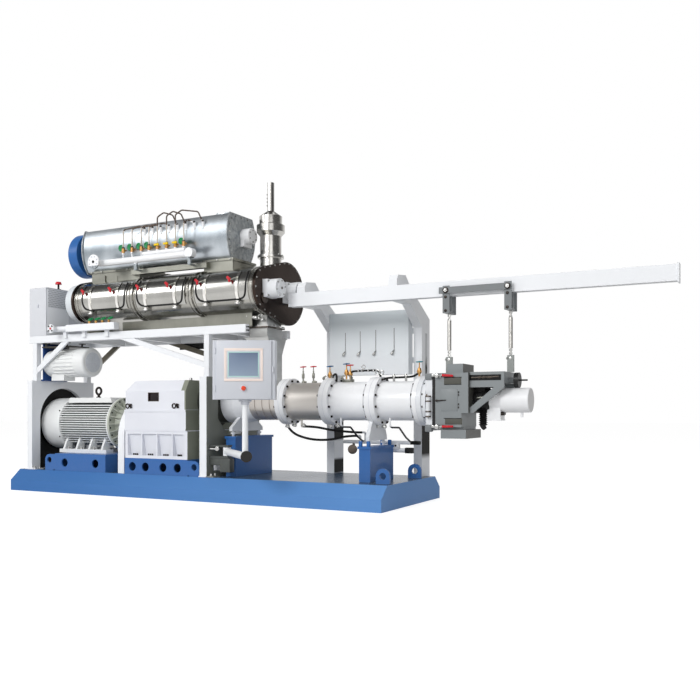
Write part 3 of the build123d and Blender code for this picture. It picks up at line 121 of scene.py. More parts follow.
# %% The class that adds nodes
class Graph:
    """A node tree whose nodes are added one at a time."""

    def __init__(self, tree):
        self.tree = tree

    def node(self, kind, settings=None, values=None, out=0):
        """Adds a node: its settings first, then the values or links of its sockets."""
        made = self.tree.nodes.new(kind)
        for name, setting in (settings or {}).items():
            if name == "stops":
                elements = made.color_ramp.elements
                for index, (position, level) in enumerate(setting):
                    element = elements[index] if index < 2 else elements.new(position)
                    element.position = position
                    element.color = (level, level, level, 1)
            else:
                setattr(made, name, setting)
        for key, value in (values or {}).items():
            if isinstance(value, Value):
                self.tree.links.new(value.socket, made.inputs[key])
            else:
                made.inputs[key].default_value = value
        return Value(self, made.outputs[out])

    def steps(self, value, *pairs):
        """A number that follows pairs of position and level."""
        return self.node("ShaderNodeValToRGB", {"stops": pairs}, {0: value})


print("socket maths ready")

# %% [markdown]
# ## Floor, backdrop and light
#
# The machine was cut out on white. The world is white to the camera and to mirrors near the horizon.
# Mirrors see it dimmer overhead and towards the die end, so that steel shows a dark and a bright side.
# Everything else gets a plain soft ambient light. The floor glows white for the camera and still takes a
# soft shadow. Three lamps light the whole machine, and a fourth gives the round steel its bright band.

# %% World
scene.view_settings.view_transform = "Standard"
world = bpy.data.worlds.new("studio")
scene.world = world
world.use_nodes = True
sky = Graph(world.node_tree)
background = sky.tree.nodes["Background"]
background.inputs["Color"].default_value = (1, 1, 1, 1)
sideways = sky.node("ShaderNodeSeparateXYZ", {}, {0: sky.node("ShaderNodeTexCoord", out="Generated")}, "X")
by_height = sky.steps(sideways.output("Z"), (0.0, 1.0), (0.35, 1.0), (0.55, 0.4), (0.72, 0.1), (0.9, 0.1),
                      (1.0, 0.16))
by_side = sky.node("ShaderNodeMapRange", {}, {"Value": sideways, "From Min": 0.25, "From Max": 0.8,
                                              "To Min": 1.0, "To Max": 0.12})
ambient = sky.node("ShaderNodeMapRange", {}, {"Value": sideways, "From Min": -0.2, "To Min": 0.44,
                                              "To Max": 0.4})
ray = sky.node("ShaderNodeLightPath", out="Is Camera Ray")
unseen = sky.node("ShaderNodeMix", {}, {0: ray.output("Is Glossy Ray"), 2: ambient, 3: by_height * by_side})
direct = ray.larger(ray.output("Is Transmission Ray"))
strength = sky.node("ShaderNodeMix", {}, {0: direct, 2: unseen, 3: 1.0})
sky.tree.links.new(strength.socket, background.inputs["Strength"])
print("world nodes:", len(sky.tree.nodes))

# %% Floor
shape = bmesh.new()
bmesh.ops.create_grid(shape, x_segments=1, y_segments=1, size=60)
floor_mesh = bpy.data.meshes.new("floor")
shape.to_mesh(floor_mesh)
shape.free()
floor = bpy.data.objects.new("floor", floor_mesh)
scene.collection.objects.link(floor)
pale = bpy.data.materials.new("pale floor")
pale.use_nodes = True
ground = Graph(pale.node_tree)
ground.tree.nodes.remove(ground.tree.nodes["Principled BSDF"])
matt = ground.node("ShaderNodeBsdfDiffuse", {}, {"Color": (0.62, 0.62, 0.62, 1)})
shadowed = ground.node("ShaderNodeBsdfDiffuse", {}, {"Color": (0.3, 0.3, 0.3, 1)})
glow = ground.node("ShaderNodeEmission", {}, {"Strength": 0.86})
glowing = ground.node("ShaderNodeAddShader", {}, {0: shadowed, 1: glow})
ray = ground.node("ShaderNodeLightPath", out="Is Camera Ray")
direct = ray.larger(ray.output("Is Transmission Ray")).larger(ray.output("Is Glossy Ray"))
choice = ground.node("ShaderNodeMixShader", {}, {0: direct, 1: matt, 2: glowing})
ground.tree.links.new(choice.socket, ground.tree.nodes["Material Output"].inputs[0])
floor_mesh.materials.append(pale)
print("floor nodes:", len(ground.tree.nodes))


# %% Lamps
def soft_lamp(name, place, target, size, power):
    """A large square lamp that looks at a point."""
    data = bpy.data.lights.new(name, "AREA")
    data.size = size
    data.energy = power
    lamp = bpy.data.objects.new(name, data)
    lamp.location = place
    lamp.rotation_euler = (Vector(target) - Vector(place)).to_track_quat("-Z", "Y").to_euler()
    scene.collection.objects.link(lamp)


soft_lamp("key", (-2, -15, 9), (-0.3, 0, 1.3), 6, 1300)
soft_lamp("steel light", (-8.6, -8.2, 7.4), (-0.6, 0, 2.2), 4, 230)
soft_lamp("front fill", (8, -9, 3), (1, 0, 1), 5, 180)
soft_lamp("top", (0, 2, 10), (0, 0, 1), 6, 170)

# %% [markdown]
# ## Finishes
#
# Sprayed paint is nearly even: its colour drifts a little over a metre, it gathers dust low down, and its
# surface has the fine dimples of a spray gun. Castings are rougher under the same paint. Brushed stainless
# is fine lines that run round each shell, with cloudier patches where it was handled.


# %% The finish class
def linear(red, green, blue):
    """A screen colour from 0 to 255 as the linear colour that a shader wants."""
    return tuple(c / 12.92 if c <= 0.04045 else ((c + 0.055) / 1.055) ** 2.4
                 for c in (red / 255, green / 255, blue / 255)) + (1.0,)


class Finish(Graph):
    """A material with its shader, and the place on the object that its patterns follow."""

    def __init__(self, name, colour, roughness, metallic=0.0, coat=0.0):
        self.material = bpy.data.materials.new(name)
        self.material.use_nodes = True
        super().__init__(self.material.node_tree)
        self.shader = self.tree.nodes["Principled BSDF"]
        self.colour = linear(*colour)
        for socket, level in (("Base Color", self.colour), ("Roughness", roughness), ("Metallic", metallic),
                              ("Coat Weight", coat), ("Specular IOR Level", 0.25)):
            self.shader.inputs[socket].default_value = level
        self.place = self.node("ShaderNodeTexCoord", out="Object")
        self.x = self.node("ShaderNodeSeparateXYZ", {}, {0: self.place}, "X")
        self.y = self.x.output("Y")
        self.z = self.x.output("Z")

    def noise(self, scale, detail=3.0, stretch=(1, 1, 1)):
        """Noise between 0 and 1, with so many waves a metre, drawn out where the stretch is small."""
        spread = self.node("ShaderNodeMapping", {}, {"Vector": self.place, "Scale": stretch})
        return self.node("ShaderNodeTexNoise", {}, {"Vector": spread, "Scale": scale, "Detail": detail})

    def blend(self, factor, low, high):
        """A colour between two, each a screen colour, a linear colour or a link."""
        low, high = (linear(*c) if isinstance(c, tuple) and len(c) == 3 else c for c in (low, high))
        return self.node("ShaderNodeMix", {"data_type": "RGBA"}, {0: factor, 6: low, 7: high}, 2)

    def shade(self, factor):
        """The finish's own colour made lighter or darker."""
        return tuple(min(1.0, c * factor) for c in self.colour[:3]) + (1.0,)

    def feed(self, socket, value):
        self.tree.links.new(value.socket, self.shader.inputs[socket])

    def colours(self, factor, low, high):
        """Feeds the base colour with a blend."""
        self.feed("Base Color", self.blend(factor, low, high))

    def bump(self, height, strength, distance=0.001):
        self.feed("Normal", self.node("ShaderNodeBump", {},
                                      {"Strength": strength, "Distance": distance, "Height": height}))


# %% Painted finishes
def sprayed(name, colour, roughness=0.38, dimple=0.12, coat=0.06):
    """The surface of sprayed paint, for a finish that brings its own colours."""
    made = Finish(name, colour, roughness, coat=coat)
    made.cloud = made.noise(1.3, 4.0)
    made.feed("Roughness", made.cloud * 0.16 + (roughness - 0.08))
    made.bump(made.noise(420.0, 1.0), dimple, 0.0006)
    return made


def paint(name, colour, roughness=0.38, drift=0.05, dimple=0.12, coat=0.06):
    """Sprayed paint of one colour, with its drift and its dust."""
    made = sprayed(name, colour, roughness, dimple, coat)
    low = made.steps(made.z, (0.24, 1.0), (0.62, 0.0))
    base = made.blend(made.cloud, made.shade(1 - drift), made.shade(1 + drift))
    made.colours(low * made.noise(38.0, 2.0) * 0.08, base, (176, 172, 164))
    return made


white = paint("white paint", (236, 238, 241))
pedestal_blue = paint("deep blue paint", (46, 100, 166), 0.36, 0.05, coat=0.1)
cabinet_grey = paint("cabinet paint", (214, 219, 223), 0.42)
panel_grey = paint("panel paint", (203, 206, 213), 0.4, dimple=0.2)
knife_grey = paint("knife unit paint", (122, 126, 128), 0.45, 0.08)
black_paint = paint("black paint", (12, 12, 13), 0.6, 0.2, coat=0)
red = paint("red handle", (200, 32, 44), 0.36, 0.1)
green = paint("green handle", (24, 128, 74), 0.36, 0.1)
teal = paint("teal handle", (28, 128, 138), 0.36, 0.1)
blue_handle = paint("blue handle", (38, 88, 132), 0.36, 0.1)
yellow = paint("yellow handle", (236, 200, 22), 0.36, 0.06)

# %% Castings under paint
cast_white = Finish("painted casting", (226, 229, 233), 0.46, coat=0.1)
grain = cast_white.noise(150.0, 4.0)
cloud = cast_white.noise(2.0, 5.0)
cast_white.colours(cloud, (214, 217, 221), (238, 240, 243))
cast_white.feed("Roughness", cloud * 0.2 + 0.36)
cast_white.bump(grain, 0.35, 0.0015)

motor_white = Finish("motor paint", (222, 223, 217), 0.4, coat=0.15)
grain = motor_white.noise(190.0, 3.0)
cloud = motor_white.noise(3.0, 4.0)
out_y, out_z = motor_white.y + 0.115, motor_white.z - 0.81
finned = (motor_white.x > -2.06) * (motor_white.x < -1.28) * (motor_white.z < 1.2)
# Painted shade: the paint darkens towards the roots between the fins.
fin_root_shade = finned * motor_white.steps(out_y * out_y + out_z * out_z, (0.074, 1.0), (0.094, 0.0))
bell = (motor_white.x > -1.262) * (motor_white.z < 1.2)
paint_tone = motor_white.blend(cloud, (226, 228, 228), (240, 241, 240))
paint_tone = motor_white.blend(fin_root_shade, paint_tone, (140, 144, 142))
motor_white.colours(bell, paint_tone, (186, 190, 178))
motor_white.feed("Roughness", cloud * 0.2 + 0.3)
motor_white.bump(grain, 0.22, 0.001)


# %% Steels
def steel(name, colour, roughness, along, lines=0.3, patches=0.5):
    """Brushed steel whose lines are closely spaced along one axis and run round it."""
    made = Finish(name, colour, roughness, metallic=1.0)
    stretch = tuple(1.0 if axis == along else 0.02 for axis in "xyz")
    brush = made.noise(520.0, 2.0, stretch)
    wide = made.noise(2.2, 5.0)
    fine = made.noise(7.0, 4.0, tuple(1.0 if axis == along else 0.35 for axis in "xyz"))
    tone = brush * lines + wide * patches + fine * (1 - lines - patches)
    made.colours(made.steps(tone, (0.3, 0.0), (0.7, 1.0)), made.shade(0.72), made.shade(1.25))
    made.feed("Roughness", wide * 0.16 + brush * 0.08 + (roughness - 0.12))
    made.bump(brush, 0.12, 0.0004)
    return made


shell_steel = steel("shell steel", (164, 162, 156), 0.21, "x")
door_steel = steel("door steel", (190, 189, 186), 0.17, "x", 0.35, 0.35)
stack_steel = steel("stack steel", (188, 186, 182), 0.24, "z")
share = (door_steel.x + 1.6005) / 0.841
across = share.fraction() - 0.5
across = across * across
strap = (across > 0.0537) * (across < 0.0741)
tone = door_steel.blend(door_steel.noise(2.2, 5.0), (150, 149, 145), (198, 197, 193))
door_steel.colours(strap, tone, (232, 230, 226))
drum_steel = steel("drum steel", (186, 192, 198), 0.3, "x", 0.1, 0.6)
# Painted reflection: bands by height, bright low down and on top, dark across the middle; the blotches and
# spangle are the steel's own.
height = drum_steel.steps((drum_steel.z - 2.6) * 1.7, (0.1, 0.85), (0.3, 0.7), (0.5, 0.15), (0.7, 0.35),
                          (0.86, 0.95))
blotch = drum_steel.steps(drum_steel.noise(2.6, 5.0, (1, 0.5, 0.4)), (0.34, 0.0), (0.66, 1.0))
spangle = drum_steel.noise(60.0, 2.0)
drum_steel.colours(height * 0.55 + blotch * 0.33 + spangle * 0.12, (104, 114, 122), (222, 228, 233))
plain_steel = steel("plain steel", (192, 192, 190), 0.32, "z", 0.2, 0.4)
dull_steel = steel("dull steel", (136, 136, 128), 0.34, "x", 0.2, 0.5)
dark_steel = steel("dark steel", (92, 84, 78), 0.34, "x", 0.2, 0.5)
bolt_steel = steel("bolt steel", (180, 180, 178), 0.26, "z", 0.2, 0.4)
dark_bolt = steel("blackened bolt", (52, 48, 46), 0.4, "z", 0.2, 0.4)
brass = steel("brass", (196, 150, 92), 0.3, "z", 0.2, 0.4)
end_plate = steel("polished end plate", (60, 50, 45), 0.24, "y", 0.1, 0.7)
print("finishes:", len(bpy.data.materials))

# %% [markdown]
# ## Finishes that change within a node
#
# Some CAD nodes are one casting in the source and several materials on the machine; on others a mask paints
# shade on faces that lie in shadow. The border is a plane, so a comparison on the object's coordinates is
# enough, and no extra mesh is needed.

# %% Steam header
header = sprayed("header paint and brass", (240, 241, 243))
above = header.z > 2.812
bent = header.z > 2.872
nozzle = (header.y > -0.43) * (header.z < 3.108) * (header.z > 2.9)
metal = above * (1 - nozzle)
upper = header.blend(header.z > 3.075, (206, 198, 186), (84, 70, 62))
fitting = header.blend(bent, (196, 146, 92), upper)
foot = header.z < 2.676
body = header.blend(foot, (240, 241, 243), (140, 146, 150))
header.colours(metal, body, fitting)
header.feed("Metallic", metal * (1 - bent) * 0.9 + foot * 0.6)
print("header finish made")

# %% Barrels and knife motor
barrel_white = sprayed("barrel paint", (238, 239, 241), 0.3, coat=0.4)
black_pipe = barrel_white.z < 0.806
barrel_white.colours(black_pipe, (238, 239, 241), (24, 24, 26))

first_barrel = sprayed("first barrel", (200, 196, 190), 0.3)
on_flange = (first_barrel.x < -2.5 + 3.649) + (first_barrel.x > -2.5 + 4.0788)
first_barrel.colours(on_flange, (204, 199, 193), (238, 239, 241))
first_barrel.feed("Metallic", (1 - on_flange) * 0.55)
first_barrel.feed("Roughness", (1 - on_flange) * 0.06 + 0.36)

feed_barrel = sprayed("feed barrel", (200, 196, 190), 0.3)
on_flange = feed_barrel.x > -2.5 + 3.545
feed_barrel.colours(on_flange, (196, 190, 184), (238, 239, 241))
feed_barrel.feed("Metallic", (1 - on_flange) * 0.55)

motor_face = sprayed("knife motor paint", (240, 241, 243))
motor_face.colours(motor_face.x > 3.7575, (240, 241, 243), (206, 206, 206))
print("barrel finishes made")

# %% Cabinet, mount, braces and skid
cabinet = sprayed("cabinet front", (214, 219, 223), 0.4)
# Painted shade: the front is lighter at the bottom and darker towards its top.
top_shade = cabinet.steps(cabinet.z / 2.5, (0.55, 0.0), (0.82, 1.0))
cabinet.colours(top_shade, (244, 247, 250), (196, 204, 208))

mount = sprayed("mount paint", (32, 62, 116), 0.4)
sheet = mount.x < -2.246
mount.colours(sheet, (58, 56, 52), (32, 66, 124))

braces = sprayed("brace paint", (236, 238, 241))
# Painted shade: the braces on the far side are coloured dark and made metallic for the shade they lie in.
shaded_far_side = braces.y > 0
braces.colours(shaded_far_side, (236, 238, 241), (96, 92, 82))
braces.feed("Metallic", shaded_far_side * 0.7)

skid = sprayed("skid paint", (84, 132, 192), 0.4, coat=0)
deck = skid.z > 0.2495
along = skid.steps((skid.x + skid.noise(0.5, 4.0)) / 5.0 + 0.4, (0.05, 0.0), (0.95, 1.0))
skid.colours(deck, skid.blend(along, (58, 110, 172), (90, 140, 200)), (70, 88, 108))
skid.feed("Roughness", deck * -0.22 + skid.noise(1.3, 4.0) * 0.1 + 0.42)
print("frame finishes made")

# %% Gearbox, portal and thrust housing
gear_white = sprayed("gearbox casting", (224, 226, 233), 0.44, 0.3)
# Painted shade: the faces towards the die end are coloured a dark green-grey for the shadow they lie in.
shaded_end_face = (gear_white.x > 0.0895) + (gear_white.x > 0.0675) * (gear_white.z > 0.75)
shaded_end_face = shaded_end_face + (gear_white.x > 0.045) * (gear_white.z > 0.98)
shaded_end_face = shaded_end_face + (gear_white.x > -0.001) * (gear_white.z > 1.1905)
side_tone = gear_white.blend(gear_white.noise(2.0, 4.0), (216, 218, 226), (232, 234, 240))
shaded_end_tone = gear_white.blend(gear_white.noise(1.4, 4.0), (112, 116, 102), (160, 164, 150))
gear_white.colours(shaded_end_face, side_tone, shaded_end_tone)

portal = sprayed("right portal paint", (236, 238, 241))
# Painted shade: the portal's face towards the die end is coloured dark for its shadow.
shaded_end_face = portal.x > 0.3535
shaded_end_tone = portal.blend(portal.noise(1.6, 4.0), (92, 94, 86), (150, 154, 146))
portal.colours(shaded_end_face, (236, 238, 241), shaded_end_tone)

thrust = sprayed("thrust housing paint", (236, 238, 241))
near = thrust.x < 0.335
thrust.colours(near, (232, 234, 238), (62, 64, 60))
print("gearbox finishes made")

# %% Guard, posts and drum ends
guard = paint("guard paint", (210, 212, 217), 0.4)

post = sprayed("post paint", (236, 238, 241))
# Painted shade and reflection: dark bands on the posts' side faces, and a patchy dark strip on the right
# post.
left_shade_band = post.steps(post.z, (0.24, 0.0), (0.26, 1.0), (0.40, 1.0), (0.43, 0.0), (0.62, 0.0), (0.66, 1.0),
                       (0.83, 1.0), (0.87, 0.0))
right_shade_band = post.steps(post.z, (0.44, 0.0), (0.5, 1.0), (0.81, 1.0), (0.84, 0.0))
left_face = (post.x > 1.3105) * (post.x < 1.34)
right_face = post.x > 2.3945
strip = right_face * (post.y > 0.6) * (post.y < 0.66) * (post.z > 0.95) * (post.z < 1.82)
patchy_shade_strip = strip * post.steps(post.noise(2.2), (0.4, 0.3), (0.55, 1.0))
dark = left_face * left_shade_band + right_face * right_shade_band + patchy_shade_strip
post.colours(dark, (236, 238, 241), (16, 17, 14))
post.feed("Roughness", dark * 0.4 + 0.4)

drum_ends = sprayed("drum end steel", (150, 155, 158), 0.38)
hub = drum_ends.x > 0.4545
mottle = drum_ends.steps(drum_ends.noise(26.0, 3.0), (0.35, 0.0), (0.65, 1.0))
drum_ends.colours(hub, drum_ends.blend(mottle, (132, 138, 142), (172, 176, 178)), (240, 241, 243))
drum_ends.feed("Metallic", (1 - hub) * 0.6)
print("post finishes made")

# %% Arm, hangers and knife housing
arm = sprayed("arm paint", (238, 240, 242))
along = (arm.x - 0.561) * 0.71986 + (arm.y + 0.5391) * -0.69412
cap = (along > 1.0165) * (arm.z < 0.6)
arm.colours(cap, (238, 240, 242), (40, 38, 36))
bracket_grey = paint("bracket paint", (74, 78, 76), 0.42)
rods = sprayed("hanger paint and steel", (150, 154, 152), 0.35)
bare = rods.z > 1.502
rods.colours(bare, (146, 150, 148), (186, 184, 180))
rods.feed("Metallic", bare * 0.95)
housing = sprayed("housing paint", (134, 139, 141), 0.42)
rim = (housing.x < 2.8785) + (housing.x > 3.603)
dim = (housing.x > 3.2125) * (housing.x < 3.2135)
dim = dim + (housing.x > 3.1375) * (housing.z > 1.333) * (housing.x < 3.2)
dim = dim + (housing.x > 3.1895) * (housing.z < 0.809) * (housing.x < 3.2)
tone = housing.blend(housing.noise(1.3, 4.0), (128, 133, 135), (140, 145, 147))
tone = housing.blend(dim, tone, (80, 80, 76))
housing.colours(rim, tone, (24, 24, 25))
# Painted shade: a flat dark grey that stands for the inside of the housing's pockets.
pocket_shade = paint("pocket paint", (82, 82, 76), 0.5)
print("knife unit finishes made")

# %% Rubber
rubber = Finish("black rubber", (26, 26, 27), 0.62)
rubber.bump(rubber.noise(600.0, 2.0), 0.2, 0.0005)
rubber.colours(rubber.noise(8.0, 3.0), (12, 12, 13), (30, 30, 30))
print("masked finishes made")

# %% Which node gets which finish
dress = {
    "arm_bracket": bracket_grey, "back_panel": cabinet_grey, "barrel_saddles": cast_white,
    "barrel_section_1": first_barrel, "barrel_section_2": barrel_white, "barrel_section_3": barrel_white,
    "base_skid": skid, "beam_arms": white, "belt_guard": pedestal_blue, "conditioner_motor": motor_white,
    "conditioner_door_1": door_steel, "conditioner_door_2": door_steel, "conditioner_door_3": door_steel,
    "conditioner_reducer": cabinet_grey, "conditioner_shell": shell_steel, "cooling_hose_1": rubber,
    "cooling_hose_2": rubber, "coupling_guard": white, "die_head": cast_white, "discharge_chute": plain_steel,
    "door_hinges": plain_steel, "drive_bracket": mount, "drive_guard": guard, "drum_end_plates": drum_ends,
    "drum_shell": drum_steel, "feed_barrel": feed_barrel, "feed_hopper": plain_steel, "frame_beams": white,
    "frame_braces": braces, "frame_crossbars": white, "frame_posts": white, "gearbox_lower_case": gear_white,
    "gearbox_plinth": pedestal_blue, "gearbox_upper_case": gear_white, "hanger_rods": rods,
    "knife_housing": housing, "knife_motor": motor_face, "knife_trolley": knife_grey,
    "left_pedestal": pedestal_blue, "left_portal": white, "lifting_lugs": pedestal_blue,
    "lower_steam_header": white, "main_motor": motor_white, "motor_plinth": pedestal_blue,
    "operator_panel": panel_grey, "panel_arm": arm, "rear_posts": post, "right_pedestal": pedestal_blue,
    "right_portal": portal, "shaft_bearings": white, "shaft_coupling": plain_steel,
    "shell_end_plates": end_plate, "shell_rings": shell_steel, "shell_saddles": dull_steel,
    "slide_gate": dark_steel, "thrust_housing": thrust, "transfer_chutes": dull_steel,
    "trolley_beam": white, "upper_steam_header": header, "vent_stack": stack_steel,
}
for name, node in nodes.items():
    node.data.materials.clear()
    node.data.materials.append(dress[name].material)
print("dressed:", len(dress), "missing:", sorted(set(nodes) - set(dress)))

# %% [markdown]
# ## Tools for new pieces
#
# Pieces are shaped in millimetres, as the machine's drawings are, and one helper brings a finished mesh to
# metres and makes it ride on its body. Stations are measured from the drive end of the skid, as in the CAD
# source.


# %% Shapes in millimetres
def st(distance):
    """X of a point at a distance from the skid's drive end."""
    return distance - 2500.0


def between(start, end):
    """The matrix that lays a shape made along Z from one point to another."""
    start, end = Vector(start), Vector(end)
    turn = (end - start).to_track_quat("Z", "Y").to_matrix().to_4x4()
    return Matrix.Translation((start + end) / 2) @ turn


def stood(place, axis):
    """The matrix that stands a shape on a point, with its Z along an axis."""
    return Matrix.Translation(Vector(place)) @ Vector(axis).to_track_quat("Z", "Y").to_matrix().to_4x4()


def rod(mesh, start, end, radius, tip=None, sides=20, edge=0):
    """A round bar between two points, with its rims broken by a small bevel if edge is given."""
    length = (Vector(end) - Vector(start)).length
    verts = bmesh.ops.create_cone(mesh, cap_ends=True, segments=sides, radius1=radius,
                                  radius2=radius if tip is None else tip, depth=length,
                                  matrix=between(start, end))["verts"]
    if edge:
        rims = {e for v in verts for e in v.link_edges if any(len(f.verts) > 4 for f in e.link_faces)}
        bmesh.ops.bevel(mesh, geom=list(rims), offset=edge, segments=2, affect="EDGES", profile=0.5,
                        material=-1)


def block(mesh, low, high, edge=0):
    """A straight block between two corners, with bevelled edges."""
    low, high = Vector(low), Vector(high)
    matrix = Matrix.Translation((low + high) / 2) @ Matrix.Diagonal((*(high - low), 1))
    verts = bmesh.ops.create_cube(mesh, size=1, matrix=matrix)["verts"]
    if edge:
        edges = {e for v in verts for e in v.link_edges}
        bmesh.ops.bevel(mesh, geom=list(edges), offset=edge, segments=2, affect="EDGES", profile=0.5,
                        material=-1)


def hoop(mesh, place, axis, radius, thickness, steps=28, sides=8):
    """A closed ring of round bar about an axis."""
    known = set(mesh.verts)
    section = Matrix.Translation((radius, 0, 0)) @ Matrix.Rotation(pi / 2, 4, "X")
    circle = bmesh.ops.create_circle(mesh, segments=sides, radius=thickness, matrix=section)["verts"]
    edges = list({e for v in circle for e in v.link_edges})
    bmesh.ops.spin(mesh, geom=circle + edges, cent=(0, 0, 0), axis=(0, 0, 1), angle=radians(360), steps=steps,
                   use_merge=True)
    made = [v for v in mesh.verts if v not in known]
    bmesh.ops.transform(mesh, matrix=stood(place, axis), verts=made)
    bmesh.ops.recalc_face_normals(mesh, faces=list({f for v in made for f in v.link_faces}))


def spokes(mesh, hub, start, end, radius, sides):
    """Eight thin bars that run out from a hub, square to the machine's length."""
    for turn in range(8):
        angle = radians(22.5 + 45 * turn)
        out = Vector((0, cos(angle), sin(angle)))
        rod(mesh, hub + start * out, hub + end * out, radius, sides=sides)


def stamped(shape, places):
    """One mesh with a copy of a small shape at each place."""
    pattern = bpy.data.meshes.new("pattern")
    shape.to_mesh(pattern)
    shape.free()
    whole = bmesh.new()
    for place in places:
        first = len(whole.verts)
        whole.from_mesh(pattern)
        whole.verts.ensure_lookup_table()
        bmesh.ops.transform(whole, matrix=place, verts=whole.verts[first:])
    bpy.data.meshes.remove(pattern)
    return whole


def piece(name, mesh, finish, body="machine"):
    """Ends a mesh: metres, smooth faces with sharp edges, its finish, and the body that it rides on."""
    bmesh.ops.transform(mesh, matrix=Matrix.Scale(0.001, 4), verts=mesh.verts)
    data = bpy.data.meshes.new(name)
    mesh.to_mesh(data)
    mesh.free()
    data.polygons.foreach_set("use_smooth", [True] * len(data.polygons))
    data.set_sharp_from_angle(angle=radians(38))
    data.materials.append(finish.material)
    made = bpy.data.objects.new(name, data)
    scene.collection.objects.link(made)
    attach(made, body)
    print(name, len(data.polygons), "faces")
    return made


def tubes(name, routes, radius, finish, body="machine"):
    """Bent round pieces: a smooth curve through each list of points, given its thickness."""
    data = bpy.data.curves.new(name, "CURVE")
    data.dimensions = "3D"
    data.bevel_depth = radius * 0.1
    data.bevel_resolution = 3
    data.use_fill_caps = True
    for points in routes:
        line = data.splines.new("NURBS")
        line.points.add(len(points) - 1)
        for knot, point in zip(line.points, points):
            knot.co = (*(Vector(point) * 0.001), 1)
            knot.radius = 0.01
        line.order_u = 3
        line.use_endpoint_u = True
        line.resolution_u = 6
    data.materials.append(finish.material)
    made = bpy.data.objects.new(name, data)
    scene.collection.objects.link(made)
    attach(made, body)
    return made


def hex_bolt(radius, height):
    """A hexagon head on a washer, with its Z along the bolt."""
    mesh = bmesh.new()
    rod(mesh, (0, 0, 0), (0, 0, height * 0.25), radius * 1.25, sides=12)
    rod(mesh, (0, 0, height * 0.2), (0, 0, height), radius, sides=6)
    return mesh


def socket_bolt(radius, height):
    """A round head, with a sunk hexagon."""
    mesh = bmesh.new()
    rod(mesh, (0, 0, 0), (0, 0, height), radius, sides=14)
    top = max(mesh.faces, key=lambda f: f.calc_center_median().z)
    bmesh.ops.inset_region(mesh, faces=[top], thickness=radius * 0.45)
    bmesh.ops.translate(mesh, verts=list(top.verts), vec=(0, 0, -height * 0.5))
    return mesh


def round_places(centre, axis, radius, count, phase=0.0):
    """Places on a circle about an axis, all heads along that axis."""
    places = []
    for step in range(count):
        turn = radians(phase + 360 * step / count)
        if axis[0]:
            offset = Vector((0, cos(turn), sin(turn)))
        elif axis[1]:
            offset = Vector((cos(turn), 0, sin(turn)))
        else:
            offset = Vector((cos(turn), sin(turn), 0))
        places.append(stood(Vector(centre) + radius * offset, axis))
    return places


def bright_bolts(name, radius, height, places):
    """Bright hexagon bolts as one piece."""
    piece(name, stamped(hex_bolt(radius, height), places), bolt_steel)


def dark_bolts(name, radius, height, places):
    """Blackened hexagon bolts as one piece."""
    piece(name, stamped(hex_bolt(radius, height), places), dark_bolt)


print("tools ready")

# %% [markdown]
# ## The cooling hoses
#
# Two black rubber hoses hang from the barrel joints to the water pipe behind the right pedestal. A hose is
# one smooth line of a known length, so it is a curve with a round section, and its points repeat the route
# of the CAD tube.

# %% Hoses
hose_routes = {
    "cooling_hose_1": [(1085.0, -130.0, 790.0), (1129.0, -122.0, 723.7), (1280, -86, 668), (1405, -24, 649),
                       (1534, 40, 655), (1634, 94, 684), (1718.0, 154.0, 695.0), (1768.6, 182.4, 695.0)],
    "cooling_hose_2": [(1290.0, -150.0, 799.0), (1352.0, -150.0, 799.0), (1436, -92, 790), (1512, -25, 768),
                       (1592, 42, 752), (1672, 100, 742), (1771.0, 150.1, 733.0), (1828.6, 182.4, 733.0)],
}
for name, route in hose_routes.items():
    hose = tubes("rubber_" + name[8:], [route], 13, rubber)
    hose.data.splines[0].resolution_u = 16
    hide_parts(name)

# %% [markdown]
# ## Motor and gearbox
#
# The motor carries an eye bolt, screws round its cowl and bolts on its feet. The gearbox has a black sight
# glass, two pairs of lifting eyes on its joint and dark foot bolts in the bays between its ribs.

# %% Main motor
drive_y, axis_z, barrel_z = -115, 810, 1068
shape = bmesh.new()
hoop(shape, (-1700, drive_y, 1214), (0, 1, 0), 42, 14, 32, 10)
rod(shape, (-1700, drive_y, 1126), (-1700, drive_y, 1174), 16, sides=16)
rod(shape, (-1700, drive_y, 1126), (-1700, drive_y, 1144), 34, 28, edge=3)
piece("motor_eye_bolt", shape, dark_bolt)
places = []
for turn in range(6):
    angle = radians(30 + 60 * turn)
    out = Vector((0, cos(angle), sin(angle)))
    places.append(stood(Vector((st(424), drive_y, axis_z)) + 317 * out, out))
piece("cowl_screws", stamped(socket_bolt(9, 8), places), dark_bolt)
places = round_places((st(1267), drive_y, axis_z), (1, 0, 0), 296, 20, 9)
dark_bolts("bell_bolts", 8, 10, places)
places = [stood((st(452 + 50 + step * (770 - 150) / 3 + 70), drive_y + side * 270, 500), (0, 0, 1))
          for step in range(3) for side in (-1, 1)]
bright_bolts("motor_foot_bolts", 16, 22, places)
shape = bmesh.new()
for ring in range(9):
    hoop(shape, (st(97), drive_y, axis_z), (1, 0, 0), 40 + 24 * ring, 3, 40, 6)
spokes(shape, Vector((st(97), drive_y, axis_z)), 30, 236, 4, 8)
rod(shape, (st(93), drive_y, axis_z), (st(99), drive_y, axis_z), 40, sides=32, edge=2)
piece("cowl_grille", shape, motor_white)

